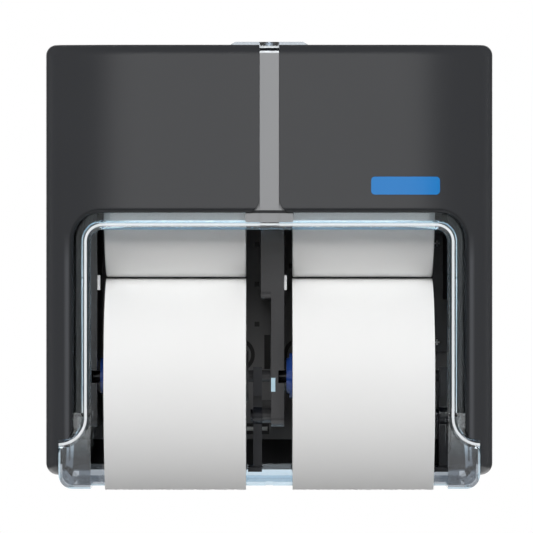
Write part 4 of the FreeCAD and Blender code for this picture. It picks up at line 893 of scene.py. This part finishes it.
def hanging_sheet(side, paper):
    """The outer wrap, spun over the roll from its back, then on down along the arc of its hanging end."""
    sizes = settings().paper
    node = f"{side}_paper_tail"
    low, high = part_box(node)
    roll_low, roll_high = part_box(f"{side}_lower_roll")
    axis = (roll_low + roll_high) / 2
    wrap = (roll_high.z - roll_low.z) / 2 - sizes.sheet_thick
    drop = high.z - low.z
    reach = high.y - low.y
    arc = (drop ** 2 + reach ** 2) / (2 * reach)
    turn = math.asin(drop / arc)
    back = math.radians(sizes.wrap_angle)
    start = Vector((axis.x, axis.y - wrap * math.cos(back), axis.z + wrap * math.sin(back)))
    arc_centre = (axis.x, axis.y - wrap + arc, axis.z)
    deselect()
    bpy.ops.mesh.primitive_grid_add(x_subdivisions=64, y_subdivisions=1, size=1, location=start)
    bpy.ops.transform.resize(value=(high.x - low.x, STARTER_BREADTH, 1))
    piece = settle(f"{node}_sheet")
    pick(piece, "vertices", lambda vertex: vertex.co.y > start.y)
    bpy.ops.mesh.delete(type="VERT")
    pick(piece, "vertices", lambda vertex: True)
    bpy.ops.mesh.spin(steps=72, angle=back, center=axis, axis=(-1, 0, 0))
    bpy.ops.mesh.spin(steps=48, angle=turn, center=arc_centre, axis=(-1, 0, 0))
    bpy.ops.object.mode_set(mode="OBJECT")
    lowest = min(v.co.z for v in piece.data.vertices)
    pick(piece, "vertices", lambda vertex: vertex.co.z < lowest + TORN_REACH)
    bpy.ops.transform.vertex_random(offset=sizes.torn_edge, seed=7)
    thicken(piece, "ply", sizes.sheet_thick)
    finish_piece(piece, "chassis", paper)
    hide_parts(node)


# Stage

class DISPENSER_OT_stage(Operator):
    """Sets the floor, the room, the lamps and the camera"""

    bl_idname = "dispenser.stage"
    bl_label = "Stage"

    def execute(self, context):
        context.scene.view_settings.view_transform = "Standard"
        lay_floor()
        light_world(context.scene)
        hang_lamps()
        set_camera(context.scene)
        return {"FINISHED"}


def seen_directly(tree):
    """Two masks of rays that no dull face has scattered: those that see or see through, and mirrored ones."""
    path = add(tree, "ShaderNodeLightPath")
    clear = either(tree, (path, "Is Camera Ray"), (path, "Is Transmission Ray"))
    unscattered = under(tree, (path, "Diffuse Depth"), FIRST_BOUNCE)
    return every(tree, clear, unscattered), every(tree, (path, "Is Glossy Ray"), unscattered)


def lay_floor():
    """A floor that shows almost white, and is dark to light on its way to the object."""
    studio = settings().studio
    deselect()
    bpy.ops.mesh.primitive_plane_add(size=studio.floor_size, location=(0, 0, -studio.floor_drop))
    floor = bpy.context.object
    floor.name = "floor"
    made, tree, shader = material("pale_floor")
    shader.inputs["Roughness"].default_value = 0.9
    shader.inputs["Emission Color"].default_value = (1, 1, 1, 1)
    shown = either(tree, *seen_directly(tree))
    greys = [(studio.floor_bounce,) * 3, (studio.floor_seen,) * 3]
    link(tree, colour_mix(tree, shown, *greys), (shader, "Base Color"))
    link(tree, spread(tree, shown, 0.0, studio.floor_glow), (shader, "Emission Strength"))
    floor.data.materials.append(made)


def light_world(scene):
    """White where the background shows, and behind the object where it is mirrored. Dim to the rest."""
    studio = settings().studio
    world = bpy.data.worlds.new("studio")
    world.use_nodes = True
    tree = world.node_tree
    background = tree.nodes["Background"]
    background.inputs["Color"].default_value = (1, 1, 1, 1)
    split = add(tree, "ShaderNodeSeparateXYZ")
    link(tree, (add(tree, "ShaderNodeTexCoord"), "Generated"), (split, "Vector"))
    behind = over(tree, (split, "Y"), studio.backdrop_from)
    clear, mirrored = seen_directly(tree)
    shown = either(tree, clear, every(tree, mirrored, behind))
    link(tree, spread(tree, shown, studio.ambient, 1.0), (background, "Strength"))
    scene.world = world


def lamp(name, place, aim, width, height, power):
    """A rectangular lamp that looks at a point."""
    deselect()
    bpy.ops.object.light_add(type="AREA", location=place)
    made = bpy.context.object
    made.name = name
    made.data.shape = "RECTANGLE"
    made.data.size = width
    made.data.size_y = height
    made.data.energy = power
    made.rotation_euler = (Vector(aim) - Vector(place)).to_track_quat("-Z", "Y").to_euler()
    return made


def hang_lamps():
    """A key over the camera's line, a panel behind the camera, a strip at each side, a light at the back."""
    aim = (0, -0.1, 0)
    for name, place, width, height, power, mirrored in (
            ("key_softbox", (0, -2.56, 1.14), 1.4, 0.9, 61, False),
            ("front_panel", (0, -4.5, 0.25), 3.0, 2.2, 29, True),
            ("left_strip", (-2.6, 0.3, 0.2), 0.9, 1.6, 46, False),
            ("right_strip", (2.6, 0.3, 0.2), 0.9, 1.6, 46, False),
            ("back_softbox", (0, 1.7, 2.1), 1.4, 1.0, 60, False)):
        lamp(name, place, aim, width, height, power).visible_glossy = mirrored


def set_camera(scene):
    """Looks at the object from the front, framed as the photo is."""
    studio = settings().studio
    middle = PHOTO_PIXELS / 2
    aim = Vector((
        (middle - studio.centre_pixel_x) * studio.pixel_size, studio.window_plane,
        (studio.centre_pixel_y - middle) * studio.pixel_size))
    place = Vector((aim.x, -studio.camera_distance, studio.camera_height))
    deselect()
    bpy.ops.object.camera_add(location=place)
    camera = bpy.context.object
    camera.rotation_euler = (aim - place).to_track_quat("-Z", "Y").to_euler()
    camera.data.sensor_width = SENSOR_WIDTH
    camera.data.lens = SENSOR_WIDTH * (aim - place).length / (PHOTO_PIXELS * studio.pixel_size)
    scene.camera = camera


class DISPENSER_PT_panel(Panel):
    """Lists the steps that dress the dispenser"""

    bl_idname = "DISPENSER_PT_panel"
    bl_label = "Dispenser"
    bl_space_type = "VIEW_3D"
    bl_region_type = "UI"
    bl_category = "Dispenser"

    def draw(self, context):
        for step in STEPS:
            self.layout.operator(step.bl_idname)


STEPS = (
    DISPENSER_OT_cover, DISPENSER_OT_chassis, DISPENSER_OT_hardware, DISPENSER_OT_levers, DISPENSER_OT_rolls,
    DISPENSER_OT_tails, DISPENSER_OT_stage,
)
GROUPS = (
    DispenserFinishes, DispenserMarks, DispenserPaper, DispenserSpring, DispenserStudio, DispenserSettings,
)


def register():
    for made in GROUPS + STEPS + (DISPENSER_PT_panel,):
        bpy.utils.register_class(made)
    bpy.types.Scene.dispenser = PointerProperty(type=DispenserSettings)


def unregister():
    del bpy.types.Scene.dispenser
    for made in reversed(GROUPS + STEPS + (DISPENSER_PT_panel,)):
        bpy.utils.unregister_class(made)


def main():
    register()
    bpy.ops.dispenser.cover()
    bpy.ops.dispenser.chassis()
    bpy.ops.dispenser.hardware()
    bpy.ops.dispenser.levers()
    bpy.ops.dispenser.rolls()
    bpy.ops.dispenser.tails()
    bpy.ops.dispenser.stage()


if __name__ == "__main__":
    main()
